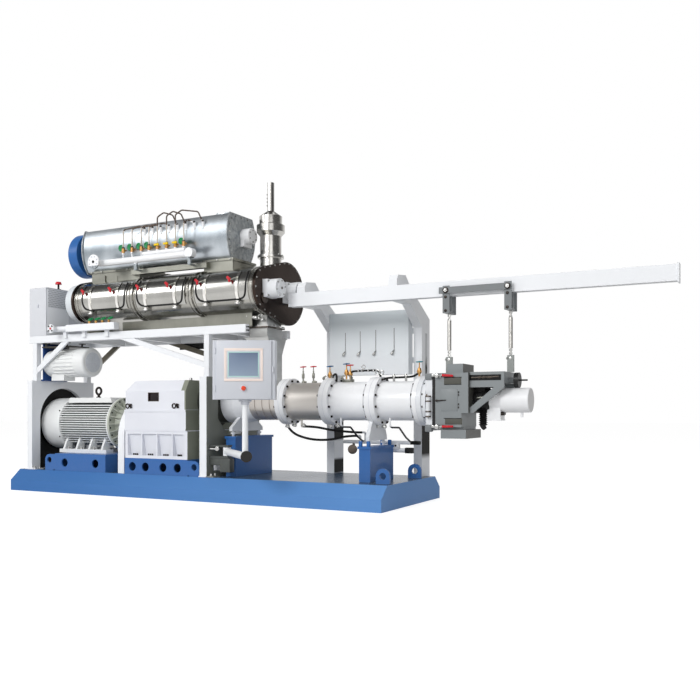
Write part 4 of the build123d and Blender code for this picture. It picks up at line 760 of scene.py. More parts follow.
# %% Gearbox
shape = bmesh.new()
block(shape, (st(2036), -604, 1079), (st(2180), -598, 1168), 2)
glass = Finish("sight glass", (14, 10, 12), 0.3)
glass.colours(glass.noise(12.0, 3.0), (8, 6, 8), (30, 18, 22))
piece("sight_glass", shape, glass)
shape = bmesh.new()
for left, right, low, high in ((2030, 2186, 1073, 1080), (2030, 2186, 1167, 1174), (2030, 2037, 1073, 1174),
                               (2179, 2186, 1073, 1174)):
    block(shape, (st(left), -617, low), (st(right), -604, high), 1.5)
piece("sight_glass_seal", shape, dark_steel)
shape = bmesh.new()
for x in (-753, -81):
    hoop(shape, (x - 16, -620, 1022), (0, 1, 0), 24, 7, 20, 8)
    rod(shape, (x + 24, -614, 994), (x + 24, -628, 1050), 5, sides=8)
    block(shape, (x + 30, -627, 996), (x + 40, -612, 1048), 2)
    rod(shape, (x + 44, -614, 1008), (x + 44, -632, 1008), 9, sides=6)
    rod(shape, (x + 44, -614, 1034), (x + 44, -632, 1034), 9, sides=6)
piece("gearbox_lifting_eyes", shape, dark_bolt)
bays = ((42, 194), (258, 199), (477, 200), (695, 153))
places = [stood((st(1693 + start + length * share), -596, 465), (0, 0, 1))
          for start, length in bays for share in (0.36, 0.5, 0.64)]
dark_bolts("bay_bolts", 9, 20, places)
shape = bmesh.new()
rod(shape, (st(2240), drive_y, 1306), (st(2240), drive_y, 1322), 34, sides=24, edge=3)
rod(shape, (st(2240), drive_y, 1320), (st(2240), drive_y, 1352), 22, 16, sides=20, edge=3)
piece("breather", shape, plain_steel)
places = round_places((st(2608), drive_y, barrel_z), (1, 0, 0), 268, 16, 11)
bright_bolts("thrust_bolts", 13, 16, places)

# %% [markdown]
# ## Frame, portals and guards
#
# Foot plates are bolted down with hexagon bolts. The guard box has a perforated plate and a red push
# button.

# %% Feet and frame
places = [stood((st(x), y, 262), (0, 0, 1)) for x in (239, 2904) for y in (-612, -542, 312, 382)]
bright_bolts("foot_bolts", 15, 26, places)
shape = bmesh.new()
for y in (-535, 305):
    block(shape, (st(3316), y - 28, 1806), (st(3323), y + 28, 1884), 2)
piece("beam_caps", shape, white)
places = [stood((st(3323), y, z), (1, 0, 0)) for y in (-550, -520) for z in (1826, 1862)]
dark_bolts("beam_cap_bolts", 7, 9, places)

# %% Black plate in the arch round the motor's fan end
shape = bmesh.new()
rod(shape, (st(141), drive_y, 868), (st(146), drive_y, 868), 384, sides=64)
block(shape, (st(141), drive_y - 384, 252), (st(146), drive_y + 384, 868), 0)
piece("arch_black_plate", shape, black_paint)

# %% Black block under the frame
shape = bmesh.new()
block(shape, (-789, 332, 1728), (-402, 352, 1838), 3)
piece("black_block_under_frame", shape, black_paint)

# %% Guard box
perforated = sprayed("perforated plate", (226, 228, 232))
row = (perforated.z * 45.0).fraction() - 0.5
shift = ((perforated.z * 22.5).fraction() > 0.5) * 0.5
column = (perforated.y * 45.0 + shift).fraction() - 0.5
hole = (row * row + column * column) < 0.06
perforated.colours(hole, (214, 216, 220), (112, 114, 118))
shape = bmesh.new()
block(shape, (st(380), -536, 2240), (st(383), -238, 2476), 1)
piece("guard_grille", shape, perforated)
shape = bmesh.new()
block(shape, (st(380), -556, 1902), (st(382.5), -206, 2462), 1)
piece("guard_side_plate", shape, white)
shape = bmesh.new()
block(shape, (-2268, -576, 2236), (-2244, -568, 2284), 3)
rod(shape, (-2256, -580, 2260), (-2256, -568, 2260), 9, sides=12)
piece("guard_latch", shape, panel_grey)
shape = bmesh.new()
rod(shape, (-2198, -300, 2484), (-2198, -300, 2500), 30, sides=24, edge=3)
rod(shape, (-2198, -300, 2498), (-2198, -300, 2560), 12, sides=16)
piece("button_stem", shape, black_paint)
shape = bmesh.new()
rod(shape, (-2198, -300, 2556), (-2198, -300, 2590), 42, 30, sides=28, edge=6)
piece("button_cap", shape, red)

# %% Conditioner motor
shape = bmesh.new()
centre = Vector((st(940), -355, 1556))
for ring in range(8):
    hoop(shape, centre + Vector((1, 0, 0)), (1, 0, 0), 18 + 14 * ring, 2.4, 40, 6)
spokes(shape, centre, 10, 118, 3, 6)
piece("fan_grille", shape, panel_grey)
shape = bmesh.new()
rod(shape, centre - Vector((2, 0, 0)), centre + Vector((0.8, 0, 0)), 122, sides=48, edge=0.5)
piece("fan_recess", shape, cabinet_grey)
shape = bmesh.new()
hoop(shape, (st(520), -355, 1748), (1, 0, 0), 17, 6, 20, 8)
piece("small_motor_eye", shape, dark_bolt)

# %% [markdown]
# ## The lower conditioner
#
# Each curved door is sealed by a black rubber cord that shows round its edge, and it is pulled shut by two
# toggles with red grips. Bolts follow the two-lobed outline of the rings and the end plate, so their places
# are found on the line that hugs both circles.

# %% Doors
front_y, rear_y, shell_z = -338, 87, 2280
door_centres = [st(1320 + 841 * step) for step in range(3)]
seal_half = ((322, 45), (330, 30), (330, 10), (326, -8), (306, -22), (262, -28.5), (150, -29.5))


def on_door(x, turn, radius):
    """A point on the front trough: turn is degrees above the horizontal, towards the front."""
    return (x, front_y - radius * cos(radians(turn)), shell_z + radius * sin(radians(turn)))


for index, x in enumerate(door_centres):
    body = f"door_{index + 1}"
    line = [on_door(x - out, turn, 247) for out, turn in seal_half]
    line += [on_door(x + out, turn, 247) for out, turn in reversed(seal_half)]
    tubes(f"door_gasket_{index + 1}", [line], 10, rubber, body)
    grips, arms = bmesh.new(), bmesh.new()
    for strap in (x - 212, x + 212):
        foot = Vector(on_door(strap, 24, 254))
        knee = Vector(on_door(strap - 24, 23, 268))
        tip = Vector(on_door(strap - 70, 18, 274))
        end = Vector(on_door(strap - 112, 25, 286))
        rod(arms, foot, knee, 7, sides=12)
        rod(arms, knee, tip, 5, sides=12)
        block(arms, foot - Vector((14, 6, 16)), foot + Vector((14, 6, 16)), 4)
        rod(grips, tip, end, 17, 14, sides=16, edge=4)
        rod(grips, tip + Vector((-4, -6, -22)), tip + Vector((-22, 0, 24)), 12, sides=12, edge=3)
    piece(f"toggle_arms_{index + 1}", arms, dull_steel, body)
    piece(f"toggle_grips_{index + 1}", grips, red, body)


# %% Rings and end plates
def trough_rim(grow, spacing):
    """Points round the line that hugs both troughs."""
    rear_radius, front_radius = 340 + grow, 235 + grow
    lean = degrees(asin((rear_radius - front_radius) / (rear_y - front_y)))
    points = []
    for centre, radius, low, high in ((rear_y, rear_radius, -90 - lean, 90 + lean),
                                      (front_y, front_radius, 90 + lean, 270 - lean)):
        count = int(radians(high - low) * radius / spacing)
        for step in range(count + 1):
            turn = radians(low + (high - low) * step / count)
            points.append(Vector((0, centre + radius * cos(turn), shell_z + radius * sin(turn))))
    turn = radians(90 + lean)
    top, front = (Vector((0, centre + radius * cos(turn), shell_z + radius * sin(turn)))
                  for centre, radius in ((rear_y, rear_radius), (front_y, front_radius)))
    for step in range(1, 4):
        upper = top.lerp(front, step / 4)
        points += [upper, Vector((0, upper.y, 2 * shell_z - upper.z))]
    return points


rim = trough_rim(0, 92)
places = [stood(Vector((st(3447), 0, 0)) + point, (1, 0, 0)) for point in rim if point.z > 1990]
bright_bolts("end_plate_bolts", 8, 10, places)
places = [stood(Vector((st(815), 0, 0)) + point, (-1, 0, 0)) for point in rim if point.z > 1990]
bright_bolts("far_end_plate_bolts", 8, 10, places)
rim = trough_rim(7, 120)
places = [stood(Vector((x + 11, 0, 0)) + point, (1, 0, 0)) for x in (st(1752.5), st(2593.5)) for point in rim
          if point.z > 1990]
bright_bolts("ring_bolts", 6, 8, places)

# %% Bands beside the rings
order = sorted(trough_rim(3, 60),
               key=lambda p: -Vector((p.y + 100, p.z - shell_z)).angle_signed(Vector((0, 1))))
tubes("shell_bands", [[Vector((st(x), p.y, p.z)) for p in order + order[:2]]
                      for x in (868, 905, 1712, 1793, 2553, 2634, 3350, 3395)], 6, shell_steel)

# %% Bearings
places = [stood((st(3508), front_y + dy, shell_z + dz), (1, 0, 0)) for dy in (-76, 76) for dz in (-76, 76)]
places += [stood((st(3508), rear_y + dy, shell_z + dz), (1, 0, 0)) for dy in (-96, 96) for dz in (-96, 96)]
bright_bolts("bearing_seat_bolts", 9, 12, places)
places = round_places((st(3617), front_y, shell_z), (1, 0, 0), 84, 6, 15)
places += round_places((st(3617), rear_y, shell_z), (1, 0, 0), 104, 6, 15)
bright_bolts("bearing_cap_bolts", 7, 9, places)
shape = bmesh.new()
rod(shape, (st(3631), front_y, shell_z), (st(3635), front_y, shell_z), 14, sides=20, edge=1)
rod(shape, (st(3447), front_y - 60, shell_z - 98), (st(3460), front_y - 60, shell_z - 98), 60, sides=24,
    edge=4)
piece("bearing_drain", shape, dark_steel)

# %% [markdown]
# ## Upper drum, steam headers and vent stack
#
# Steam passes from the header through a row of small valves, each with a handwheel or a lever, up a thin
# bent pipe and into a nozzle on the drum. Flanges are closed with bolted plates.

# %% Valves of the upper header
header_y = -470
stations = (1530, 1663, 1802, 1917, 2040, 2174, 2300, 2419)
wheels, levers, caps, unions = bmesh.new(), bmesh.new(), bmesh.new(), bmesh.new()
for index, station in enumerate(stations):
    x = st(station)
    rod(unions, (x, header_y, 2822), (x, header_y, 2840), 22, sides=6)
    rod(unions, (x, header_y, 2852), (x, header_y, 2866), 20, sides=6)
    rod(unions, (x, header_y, 2846), (x, header_y + 46, 2852), 11, sides=12)
    rod(caps, (x, header_y, 2866), (x, header_y, 2884), 19, 15, sides=16, edge=2)
    if index in (4, 5, 6):
        block(levers, (x - 22, header_y - 38, 2850), (x + 44, header_y - 20, 2874), 4)
        rod(caps, (x, header_y - 36, 2862), (x, header_y - 8, 2862), 9, sides=12)
    else:
        hoop(wheels, (x - 52, header_y + 20, 2880), (0, 1, 0.1), 32, 8, 24, 8)
        rod(wheels, (x - 52, header_y + 16, 2880), (x - 52, header_y + 24, 2880), 30, sides=20)
        rod(wheels, (x - 52, header_y + 20, 2880), (x, header_y, 2862), 6, sides=8)
piece("steam_handwheels", wheels, green)
piece("steam_levers", levers, yellow)
piece("steam_caps", caps, dark_bolt)
piece("steam_unions", unions, brass)

# %% Nozzle heads
caps, clamps = bmesh.new(), bmesh.new()
lean = Vector((0, -sin(radians(20.4)), cos(radians(20.4))))
for step in range(8):
    middle = Vector((st(1778 + 120 * step), -370, 3050))
    rod(caps, middle + 38 * lean, middle + 58 * lean, 15, 11, sides=16, edge=2)
    rod(clamps, middle - 44 * lean, middle - 30 * lean, 21, sides=18, edge=2)
piece("nozzle_caps", caps, dark_bolt)
piece("nozzle_clamps", clamps, bolt_steel)

# %% Flange bolts and the lower header's valves
shape = bmesh.new()
rod(shape, (st(1180), -600, 2722), (st(1180), -590, 2722), 17, sides=20, edge=2)
piece("flange_plug", shape, black_paint)
piece("upper_flange_bolts",
      stamped(hex_bolt(6, 9), round_places((st(1180), -596, 2722), (0, -1, 0), 62, 8, 22.5)),
      panel_grey)
places = round_places((st(625), -726, 1950), (0, -1, 0), 38, 4, 45)
dark_bolts("lower_flange_bolts", 8, 12, places)
shape = bmesh.new()
rod(shape, (st(625), -732, 1950), (st(625), -726, 1950), 14, sides=20, edge=2)
piece("lower_flange_plug", shape, red)
wheels, unions = bmesh.new(), bmesh.new()
for x in (-1358, -1255, -1157, -1056):
    rod(unions, (x, -615, 1988), (x, -615, 2026), 12, sides=12)
    rod(unions, (x, -615, 2004), (x, -615, 2018), 18, sides=6)
    hoop(wheels, (x + 6, -600, 2046), (0, -0.5, 0.86), 30, 7, 22, 8)
    rod(wheels, (x + 6, -600, 2040), (x + 6, -600, 2050), 24, sides=18)
    rod(wheels, (x, -615, 2022), (x + 6, -600, 2044), 6, sides=8)
piece("small_handwheels", wheels, green)
piece("small_valves", unions, brass)


# %% Drum bolts
def drum_rim(inset):
    """Points round the drum's end plates."""
    points = []
    for side in (-1, 1):
        for share in (-0.86, -0.55, -0.2, 0.2, 0.55, 0.86):
            bulge = 263 - (263 - 197) * share * share
            points.append(Vector((0, drive_y + side * (bulge - inset), 2909 + share * (249 - inset))))
    for y in (-120, 0, 120):
        points.append(Vector((0, drive_y + y, 3158 - inset * 0.7)))
        points.append(Vector((0, drive_y + y, 2660 + inset * 0.7)))
    return points


rim = drum_rim(20)
places = [stood(Vector((st(2954), 0, 0)) + point, (1, 0, 0)) for point in rim]
places += [stood(Vector((st(786), 0, 0)) + point, (-1, 0, 0)) for point in rim]
bright_bolts("drum_bolts", 8, 10, places)
places = round_places((st(3068), -55, 2942), (1, 0, 0), 66, 6, 30)
bright_bolts("drum_bearing_bolts", 7, 9, places)
places = [stood((st(x), -346, 2650), (0, -1, 0)) for x in (920, 1080, 1300, 1480, 1630, 2620, 2790, 2960)]
bright_bolts("chute_bolts", 8, 12, places)
places = round_places((st(3217), rear_y, 2725), (0, 0, 1), 136, 10, 18)
bright_bolts("stack_flange_bolts", 8, 14, places)
shape = bmesh.new()
for z in (3305, 3347, 3388, 3430):
    rod(shape, (717 - 36, 87, z), (717 - 52, 87, z), 8, sides=10, edge=2)
piece("stack_rungs", shape, dark_bolt)

# %% [markdown]
# ## Feed hopper and barrel
#
# Every barrel joint is a ring of twelve cap screws in pale seats. On top stand the water valves with red,
# blue and teal handwheels.

# %% Joint screws
places, seats = [], []
joints = ((3597, 51), (4134, 54.5), (4670, 54.5), (5182, 46.5))
for station, half in joints:
    places += round_places((st(station + half) + 4, drive_y, barrel_z), (1, 0, 0), 227, 12, 15)
    seats += round_places((st(station + half), drive_y, barrel_z), (1, 0, 0), 227, 12, 15)
    places += round_places((st(station - half) - 4, drive_y, barrel_z), (-1, 0, 0), 227, 12, 15)
piece("joint_screws", stamped(socket_bolt(12, 15), places), dark_bolt)
seat = bmesh.new()
rod(seat, (0, 0, 0), (0, 0, 5), 20, sides=18, edge=1.5)
piece("joint_seats", stamped(seat, seats), cast_white)
shape = bmesh.new()
for station, _ in joints:
    rod(shape, (st(station) - 1.5, drive_y, barrel_z), (st(station) + 1.5, drive_y, barrel_z), 251, sides=64)
piece("joint_seams", shape, panel_grey)


# %% Barrel valves
def handwheel(mesh, place, axis, radius):
    """A small spoked wheel."""
    hoop(mesh, place, axis, radius, 4.5, 22, 8)
    matrix = stood(place, axis)
    rod(mesh, matrix @ Vector((0, 0, -6)), matrix @ Vector((0, 0, 8)), 9, sides=12)
    for turn in range(3):
        angle = radians(120 * turn + 20)
        end = Vector((radius * cos(angle), radius * sin(angle), 0))
        rod(mesh, matrix @ Vector((0, 0, 0)), matrix @ end, 3.5, sides=6)


bodies, brass_bodies = bmesh.new(), bmesh.new()
reds, blues, teals = bmesh.new(), bmesh.new(), bmesh.new()
for x in (1263, 1391):
    rod(bodies, (x, drive_y, 1262), (x, drive_y, 1400), 8, sides=12)
    rod(bodies, (x, drive_y, 1318), (x, drive_y, 1372), 15, sides=14, edge=3)
    rod(bodies, (x, drive_y, 1262), (x, drive_y, 1286), 17, sides=6)
    rod(bodies, (x + 8, drive_y, 1284), (x + 40, drive_y, 1276), 11, sides=12, edge=3)
    rod(bodies, (x, drive_y, 1400), (x, drive_y, 1440), 5, sides=8)
    handwheel(reds, (x, drive_y, 1443), (0, -0.15, 1), 32)
for x, z, wheel in ((1594, 1441, blues), (1792, 1462, blues), (1838, 1447, reds), (2620, 1462, teals)):
    base = 1250 if x > 2500 else 1300
    rod(brass_bodies, (x, drive_y, base), (x, drive_y, z - 50), 10, sides=12)
    rod(brass_bodies, (x, drive_y, z - 120), (x, drive_y, z - 64), 19, sides=14, edge=4)
    rod(brass_bodies, (x - 22, drive_y, z - 96), (x + 22, drive_y, z - 96), 14, sides=6)
    rod(brass_bodies, (x, drive_y, z - 64), (x, drive_y, z), 6, sides=10)
    handwheel(wheel, (x, drive_y, z), (0, -0.15, 1), 34)
for x in (1594, 1815):
    block(bodies, (x - 60, drive_y - 26, 1268), (x + 60, drive_y + 26, 1300), 6)
    for side in (-1, 1):
        knee = (x + side * 62, drive_y - 44, 1318)
        rod(bodies, (x + side * 42, drive_y - 20, 1286), knee, 13, sides=12, edge=3)
        rod(bodies, knee, (x + side * 30, drive_y - 30, 1338), 9, sides=12)
piece("valve_bodies", bodies, dull_steel)
piece("valve_brass", brass_bodies, brass)
piece("red_handwheels", reds, red)
piece("blue_handwheels", blues, blue_handle)
piece("teal_handwheel", teals, teal)

# %% Black service pipes on the barrel
pipe_routes = (
    ((1838, 0, 1360), (1860, 0, 1382), (1900, 0, 1384), (2100, 0, 1388), (2150, 0, 1386), (2185, 0, 1370),
     (2190, 0, 1300)),
    ((2225, 0, 1290), (2240, 0, 1306), (2400, 0, 1308), (2540, 0, 1312), (2585, 0, 1330), (2616, 0, 1352)),
    ((1630, 0, 1336), (1668, -20, 1368), (1700, -36, 1330), (1704, -60, 1276)),
)
tubes("top_pipe", [[(x, drive_y + out, z) for x, out, z in route] for route in pipe_routes], 11, rubber)
shape = bmesh.new()
for x in (1935, 1978, 2050, 2110):
    rod(shape, (x - 7, drive_y, 1386), (x + 7, drive_y, 1386), 15, sides=16, edge=2)
for x in (2340, 2474):
    rod(shape, (x, drive_y, 1262), (x, drive_y, 1344), 13, sides=14, edge=2)
    rod(shape, (x, drive_y, 1318), (x, drive_y, 1328), 19, sides=6)
hoop(shape, (1992, drive_y, 1424), (0, 1, 0), 20, 5, 20, 8)
rod(shape, (1992, drive_y, 1384), (1992, drive_y, 1406), 9, sides=12)
hoop(shape, (2160, drive_y - 10, 1366), (0, 1, 0.2), 24, 6, 20, 8)
hoop(shape, (2206, drive_y - 10, 1362), (0, 1, 0.2), 22, 6, 20, 8)
piece("pipe_clamps", shape, bolt_steel)

# %% Fittings under the joints
shape = bmesh.new()
for x, z in ((1086, 800), (1174, 812), (1290, 808), (1618, 808), (1704, 812), (2156, 808), (2246, 806)):
    rod(shape, (x - 26, -150, z), (x + 26, -152, z - 6), 12, sides=14, edge=3)
    rod(shape, (x, -150, z - 20), (x, -150, z + 30), 10, sides=12)
    rod(shape, (x + 10, -151, z), (x + 22, -151, z - 3), 18, sides=6)
piece("joint_fittings", shape, bolt_steel)

# %% Hopper and slide gate
places = [stood((x, y, 1900), (0, 0, 1)) for x in (st(3156), st(3283), st(3410)) for y in (-276, 46)]
places += [stood((x, y, 1900), (0, 0, 1)) for x in (st(3156), st(3410)) for y in (-190, drive_y, -40)]
bright_bolts("gate_bolts", 7, 10, places)
shape = bmesh.new()
rod(shape, (st(3421), drive_y, 1882), (st(3500), drive_y, 1882), 9, sides=12)
rod(shape, (st(3496), drive_y - 36, 1882), (st(3496), drive_y + 36, 1882), 10, sides=12, edge=3)
rod(shape, (560, -262, 2006), (600, -300, 2020), 26, sides=20, edge=4)
rod(shape, (598, -298, 2020), (690, -330, 2000), 17, sides=16, edge=3)
rod(shape, (690, -330, 2000), (760, -330, 1986), 9, sides=12)
rod(shape, (760, -330, 1986), (812, -330, 1978), 26, sides=18, edge=4)
hoop(shape, (850, -330, 1990), (0, 1, 0), 26, 7, 22, 8)
rod(shape, (866, -330, 1956), (866, -262, 1956), 15, sides=14, edge=3)
piece("gate_cylinder", shape, bolt_steel)

# %% [markdown]
# ## Cabinet, posts and beam
#
# The grey cabinet has four narrow slots with a drop-shaped handle at the lower end of each. The posts carry
# the beam with bolted arms.

# %% Cabinet front
shape = bmesh.new()
block(shape, (st(3814), 389, 1365), (st(4785), 393, 2065), 1.5)
piece("cabinet_front", shape, cabinet)
dark_lines, bright, drops = bmesh.new(), bmesh.new(), bmesh.new()
for x, low, high in ((1517, 1632, 1845), (1703, 1627, 1854), (1894, 1627, 1860), (2116, 1629, 1871)):
    block(dark_lines, (x - 3, 387.5, low), (x + 2, 389.5, high), 0.6)
    block(bright, (x + 3, 386.5, low - 10), (x + 8, 389.5, high), 1)
    rod(drops, (x + 4, 386, low + 6), (x - 18, 372, low - 34), 6, 15, sides=16, edge=3)
    rod(drops, (x - 18, 372, low - 34), (x - 26, 368, low - 50), 15, 9, sides=16, edge=3)
piece("slot_shadows", dark_lines, dark_steel)
piece("slot_lips", bright, panel_grey)
piece("slot_handles", drops, bolt_steel)

# %% Operator panel, on its own turned axes
column = Vector((1257.9, -1210.9, 0))
facing = Matrix.Translation(column) @ Matrix.Rotation(radians(27.2), 4, "Z")


def on_panel(name, mesh, finish):
    """Ends a piece that was shaped with the column at the origin and the face towards -Y."""
    bmesh.ops.transform(mesh, matrix=facing, verts=mesh.verts)
    return piece(name, mesh, finish, "operator_panel")


shape = bmesh.new()
block(shape, (-262, -104, 1078), (264, -85, 1639), 5)
on_panel("panel_door", shape, panel_grey)
peach = paint("bezel paint", (238, 222, 214), 0.4)
sea = paint("inner bezel paint", (176, 214, 208), 0.4)
screen = Finish("display glass", (100, 120, 150), 0.35)
glow = screen.steps(screen.z / 2.0, (0.64, 1.0), (0.77, 0.0))
screen.colours(glow, (98, 114, 140), (150, 166, 186))
screen.feed("Roughness", screen.noise(3.0, 2.0) * 0.08 + 0.3)


def frame_of_bars(mesh, left, right, low, high, y_front, y_back, width):
    """Four bars round a rectangle."""
    block(mesh, (left, y_front, high - width), (right, y_back, high), 1)
    block(mesh, (left, y_front, low), (right, y_back, low + width), 1)
    block(mesh, (left, y_front, low + width), (left + width, y_back, high - width), 1)
    block(mesh, (right - width, y_front, low + width), (right, y_back, high - width), 1)


shape = bmesh.new()
block(shape, (-182, -108, 1254), (180, -103, 1560), 2)
on_panel("display_bezel", shape, panel_grey)
shape = bmesh.new()
frame_of_bars(shape, -186, 184, 1250, 1564, -110, -103, 24)
on_panel("display_frame", shape, peach)
shape = bmesh.new()
frame_of_bars(shape, -150, 146, 1290, 1530, -110, -107, 10)
on_panel("display_line", shape, sea)
shape = bmesh.new()
block(shape, (-142, -110, 1298), (138, -106, 1522), 1)
on_panel("display_glass", shape, screen)
shape = bmesh.new()
rod(shape, (0, -103, 1182), (0, -112, 1182), 30, sides=32, edge=2)
on_panel("stop_collar", shape, panel_grey)
orange = paint("stop button", (226, 74, 44), 0.35)
shape = bmesh.new()
rod(shape, (0, -110, 1182), (0, -128, 1182), 24, 20, sides=32, edge=4)
on_panel("stop_button", shape, orange)
shape = bmesh.new()
for z in (1180, 1540):
    rod(shape, (-276, -84, z - 30), (-276, -84, z + 30), 9, sides=14, edge=2)
rod(shape, (278, -96, 1330), (278, -96, 1390), 10, sides=14, edge=2)
rod(shape, (0, 0, 1056), (0, 0, 1076), 62, sides=32, edge=3)
on_panel("panel_hinges", shape, panel_grey)

# %% Arm
shape = bmesh.new()
block(shape, (492, -584, 306), (628, -494, 457), 10)
block(shape, (354, -574, 380), (500, -504, 457), 6)
piece("bracket_housing", shape, bracket_grey)
shape = bmesh.new()
rod(shape, (470, -600, 560), (470, -580, 560), 26, sides=24, edge=5)
rod(shape, (354, -590, 556), (474, -590, 556), 11, sides=14)
piece("bracket_pin", shape, bolt_steel)

# %% [markdown]
# ## Trolley and knife unit
#
# The knife unit hangs from two rollers in the beam. Its housing has a flush door, two pockets drawn as flat
# sheets of painted shade, and a slot in the upper arm; two clamps with red grips pull it against the die.

# %% Trolley
hangers = (st(5440), st(6060))
shape, dark = bmesh.new(), bmesh.new()
for x in hangers:
    rod(dark, (x, -213, 2148), (x, -231, 2148), 30, sides=28, edge=3)
    rod(shape, (x, -230, 2148), (x, -240, 2148), 19, sides=6)
    rod(shape, (x, -238, 2148), (x, -246, 2148), 10, sides=14, edge=2)
    for z in (2084, 1950):
        rod(dark, (x - 4, -213, z), (x - 4, -218, z), 15, sides=16, edge=2)
        rod(dark, (x, -17, z), (x, -11, z), 15, sides=16, edge=2)
    rod(dark, (x, -16, 2148), (x, -4, 2148), 20, sides=6)
piece("trolley_pins", shape, bolt_steel, "knife_unit")
piece("trolley_washers", dark, dark_bolt, "knife_unit")
shape = bmesh.new()
for x in hangers:
    for z in (1548, 1868, 1908, 1516):
        rod(shape, (x, drive_y, z - 10), (x, drive_y, z + 10), 17, sides=6)
piece("turnbuckle_nuts", shape, bolt_steel, "knife_unit")
shape = bmesh.new()
for x, z in zip(hangers, (1474, 1470)):
    rod(shape, (x, -132, z), (x, -128, z), 13, sides=18, edge=1)
    rod(shape, (x - 32, -131.5, z), (x - 31, -130, z), 13, sides=18)
piece("fork_pins", shape, bolt_steel, "knife_unit")

# %% Knife housing pieces
shape = bmesh.new()
block(shape, (2938, -345, 966), (3104, -340, 1179), 1.5)
piece("knife_door", shape, housing, "knife_unit")
shape = bmesh.new()
for z in (1000, 1030, 1120, 1145):
    rod(shape, (3116, -344, z - 9), (3116, -344, z + 9), 5, sides=10, edge=1)
rod(shape, (2896, -352, 1066), (2990, -352, 1070), 7, 4, sides=12)
rod(shape, (2896, -341, 1066), (2896, -360, 1066), 11, sides=12, edge=2)
piece("knife_door_latch", shape, dark_bolt, "knife_unit")
# The two pockets are flat dark sheets, 1 mm proud: their grey is painted shade for the recesses.
shape = bmesh.new()
block(shape, (2969, -343, 1222), (3143, -340, 1286), 1)
block(shape, (2979, -343, 836), (3153, -340, 892), 1)
piece("knife_pocket_shades", shape, pocket_shade, "knife_unit")
shape = bmesh.new()
for low, high in ((1286, 1292), (892, 898)):
    block(shape, (2966, -346, low), (3146, -340, high), 1)
block(shape, (3203, -303, 1256), (3521, -300, 1310), 1)
block(shape, (2972, -347, 1218), (3143, -341, 1222), 1)
piece("knife_shadows", shape, black_paint, "knife_unit")
shape = bmesh.new()
rod(shape, (3230, -306, 1284), (3500, -306, 1290), 6, sides=12)
for x in (3300, 3340, 3390, 3410):
    rod(shape, (x, -306, 1284), (x + 24, -306, 1288), 11, sides=14, edge=2)
piece("slot_spindle", shape, dark_steel, "knife_unit")
bellows = bmesh.new()
for step in range(9):
    z = 826 + 19 * step
    rod(bellows, (3305, -170, z), (3305, -170, z + 9), 30, 44, sides=28)
    rod(bellows, (3305, -170, z + 9), (3305, -170, z + 19), 44, 30, sides=28)
rod(bellows, (3290, -170, 806), (3320, -170, 828), 34, sides=20, edge=6)
piece("knife_bellows", bellows, rubber, "knife_unit")

# %% Drive cover behind the brace
shape = bmesh.new()
rod(shape, (3216, drive_y, barrel_z), (3372, drive_y, barrel_z), 112, sides=40, edge=6)
for x in (3246, 3300, 3340):
    rod(shape, (x, drive_y, barrel_z), (x + 14, drive_y, barrel_z), 120, sides=40, edge=3)
block(shape, (3216, -190, 1130), (3330, -40, 1222), 8)
piece("knife_drive_cover", shape, rubber, "knife_unit")
shape = bmesh.new()
rod(shape, (3262, drive_y - 128, 1090), (3340, drive_y - 128, 1100), 9, sides=12, edge=2)
piece("knife_drive_fittings", shape, dull_steel, "knife_unit")

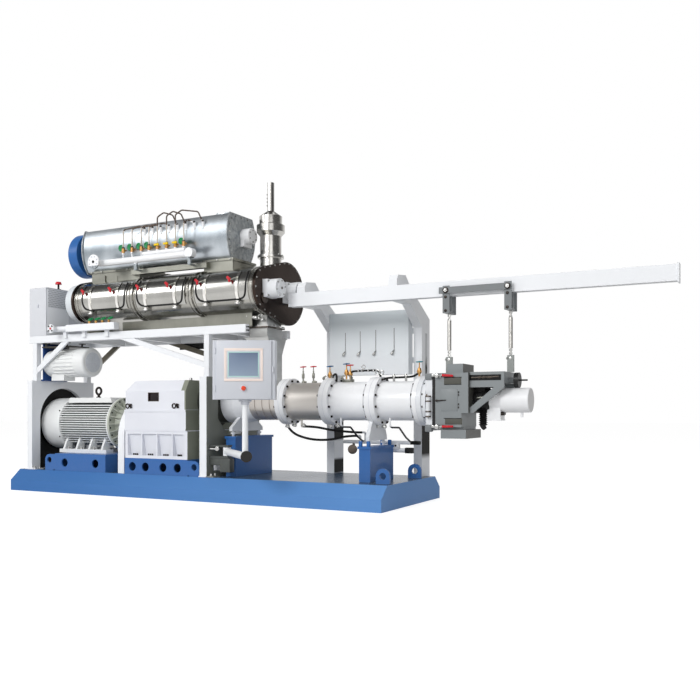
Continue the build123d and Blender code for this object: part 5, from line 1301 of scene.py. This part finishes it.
# %% Clamps
grips, links = bmesh.new(), bmesh.new()
for z, slope in ((1310, -8), (816, 2)):
    rod(grips, (2958, -366, z), (3070, -366, z + slope), 13, 10, sides=16, edge=4)
    rod(links, (2848, -352, z - 2), (2962, -364, z), 8, sides=12)
    rod(links, (2902, -341, z - 4), (2902, -376, z - 4), 22, sides=20, edge=5)
    rod(links, (2930, -352, z - 18), (2950, -360, z + 16), 8, sides=12)
    block(links, (2846, -364, z - 13), (2872, -340, z + 13), 4)
piece("clamp_grips", grips, red, "knife_unit")
piece("clamp_links", links, bolt_steel, "knife_unit")
shape = bmesh.new()
block(shape, (2768, -346, 1268), (2842, -288, 1332), 12)
block(shape, (2768, -346, 762), (2842, -288, 832), 12)
piece("die_lugs", shape, knife_grey)
shape = bmesh.new()
for z in (912, 960, 1060, 1108):
    rod(shape, (2807.5, -349, z - 7), (2807.5, -349, z + 7), 28, sides=24, edge=2)
piece("die_hinge_washers", shape, dark_steel)
shape = bmesh.new()
block(shape, (2772, -329, 1006), (2790, -324, 1130), 3)
rod(shape, (2790, -330, 985), (2790, -330, 1115), 8, sides=12)
piece("die_latch", shape, dark_steel)

# %% Knife motor
shape = bmesh.new()
rod(shape, (3670, drive_y, 906), (3670, drive_y, 960), 13, sides=16, edge=2)
block(shape, (3344, -188, 874), (3488, -42, 886), 3)
piece("motor_drain", shape, motor_face, "knife_unit")
shape = bmesh.new()
for y in (-160, -120):
    rod(shape, (3478, y, 940), (3504, y, 940), 17, sides=18, edge=3)
    rod(shape, (3502, y, 940), (3512, y, 940), 11, sides=14)
piece("cable_glands", shape, dark_bolt, "knife_unit")

# %% Pedestals and small water fittings
shape = bmesh.new()
for x, y in ((st(4590), -386), (st(4678), -386), (st(4590), 130), (st(4678), 130)):
    block(shape, (x - 14, y - 14, 607), (x + 18, y + 18, 662), 4)
piece("pedestal_stops", shape, pedestal_blue)
shape = bmesh.new()
rod(shape, (1592, 200, 630), (1726, 200, 630), 20, sides=20, edge=3)
rod(shape, (2196, 200, 548), (2336, 200, 548), 24, sides=20, edge=3)
block(shape, (2180, 160, 560), (2262, 226, 628), 5)
rod(shape, (2230, 200, 560), (2230, 200, 630), 14, sides=16)
piece("water_fittings", shape, white)
shape = bmesh.new()
rod(shape, (1716, 176, 548), (1722, 160, 548), 52, sides=32, edge=4)
rod(shape, (1718, 200, 548), (1718, 200, 630), 14, sides=16)
rod(shape, (1716, 200, 548), (1720, 168, 548), 20, sides=20)
piece("drain_flange", shape, dark_steel)
shape = bmesh.new()
block(shape, (2334, 172, 518), (2420, 228, 578), 6)
for x in (2204, 2236):
    rod(shape, (x, 162, 598), (x, 156, 598), 11, sides=18)
piece("water_valve", shape, black_paint)
print("knife unit and fittings made")
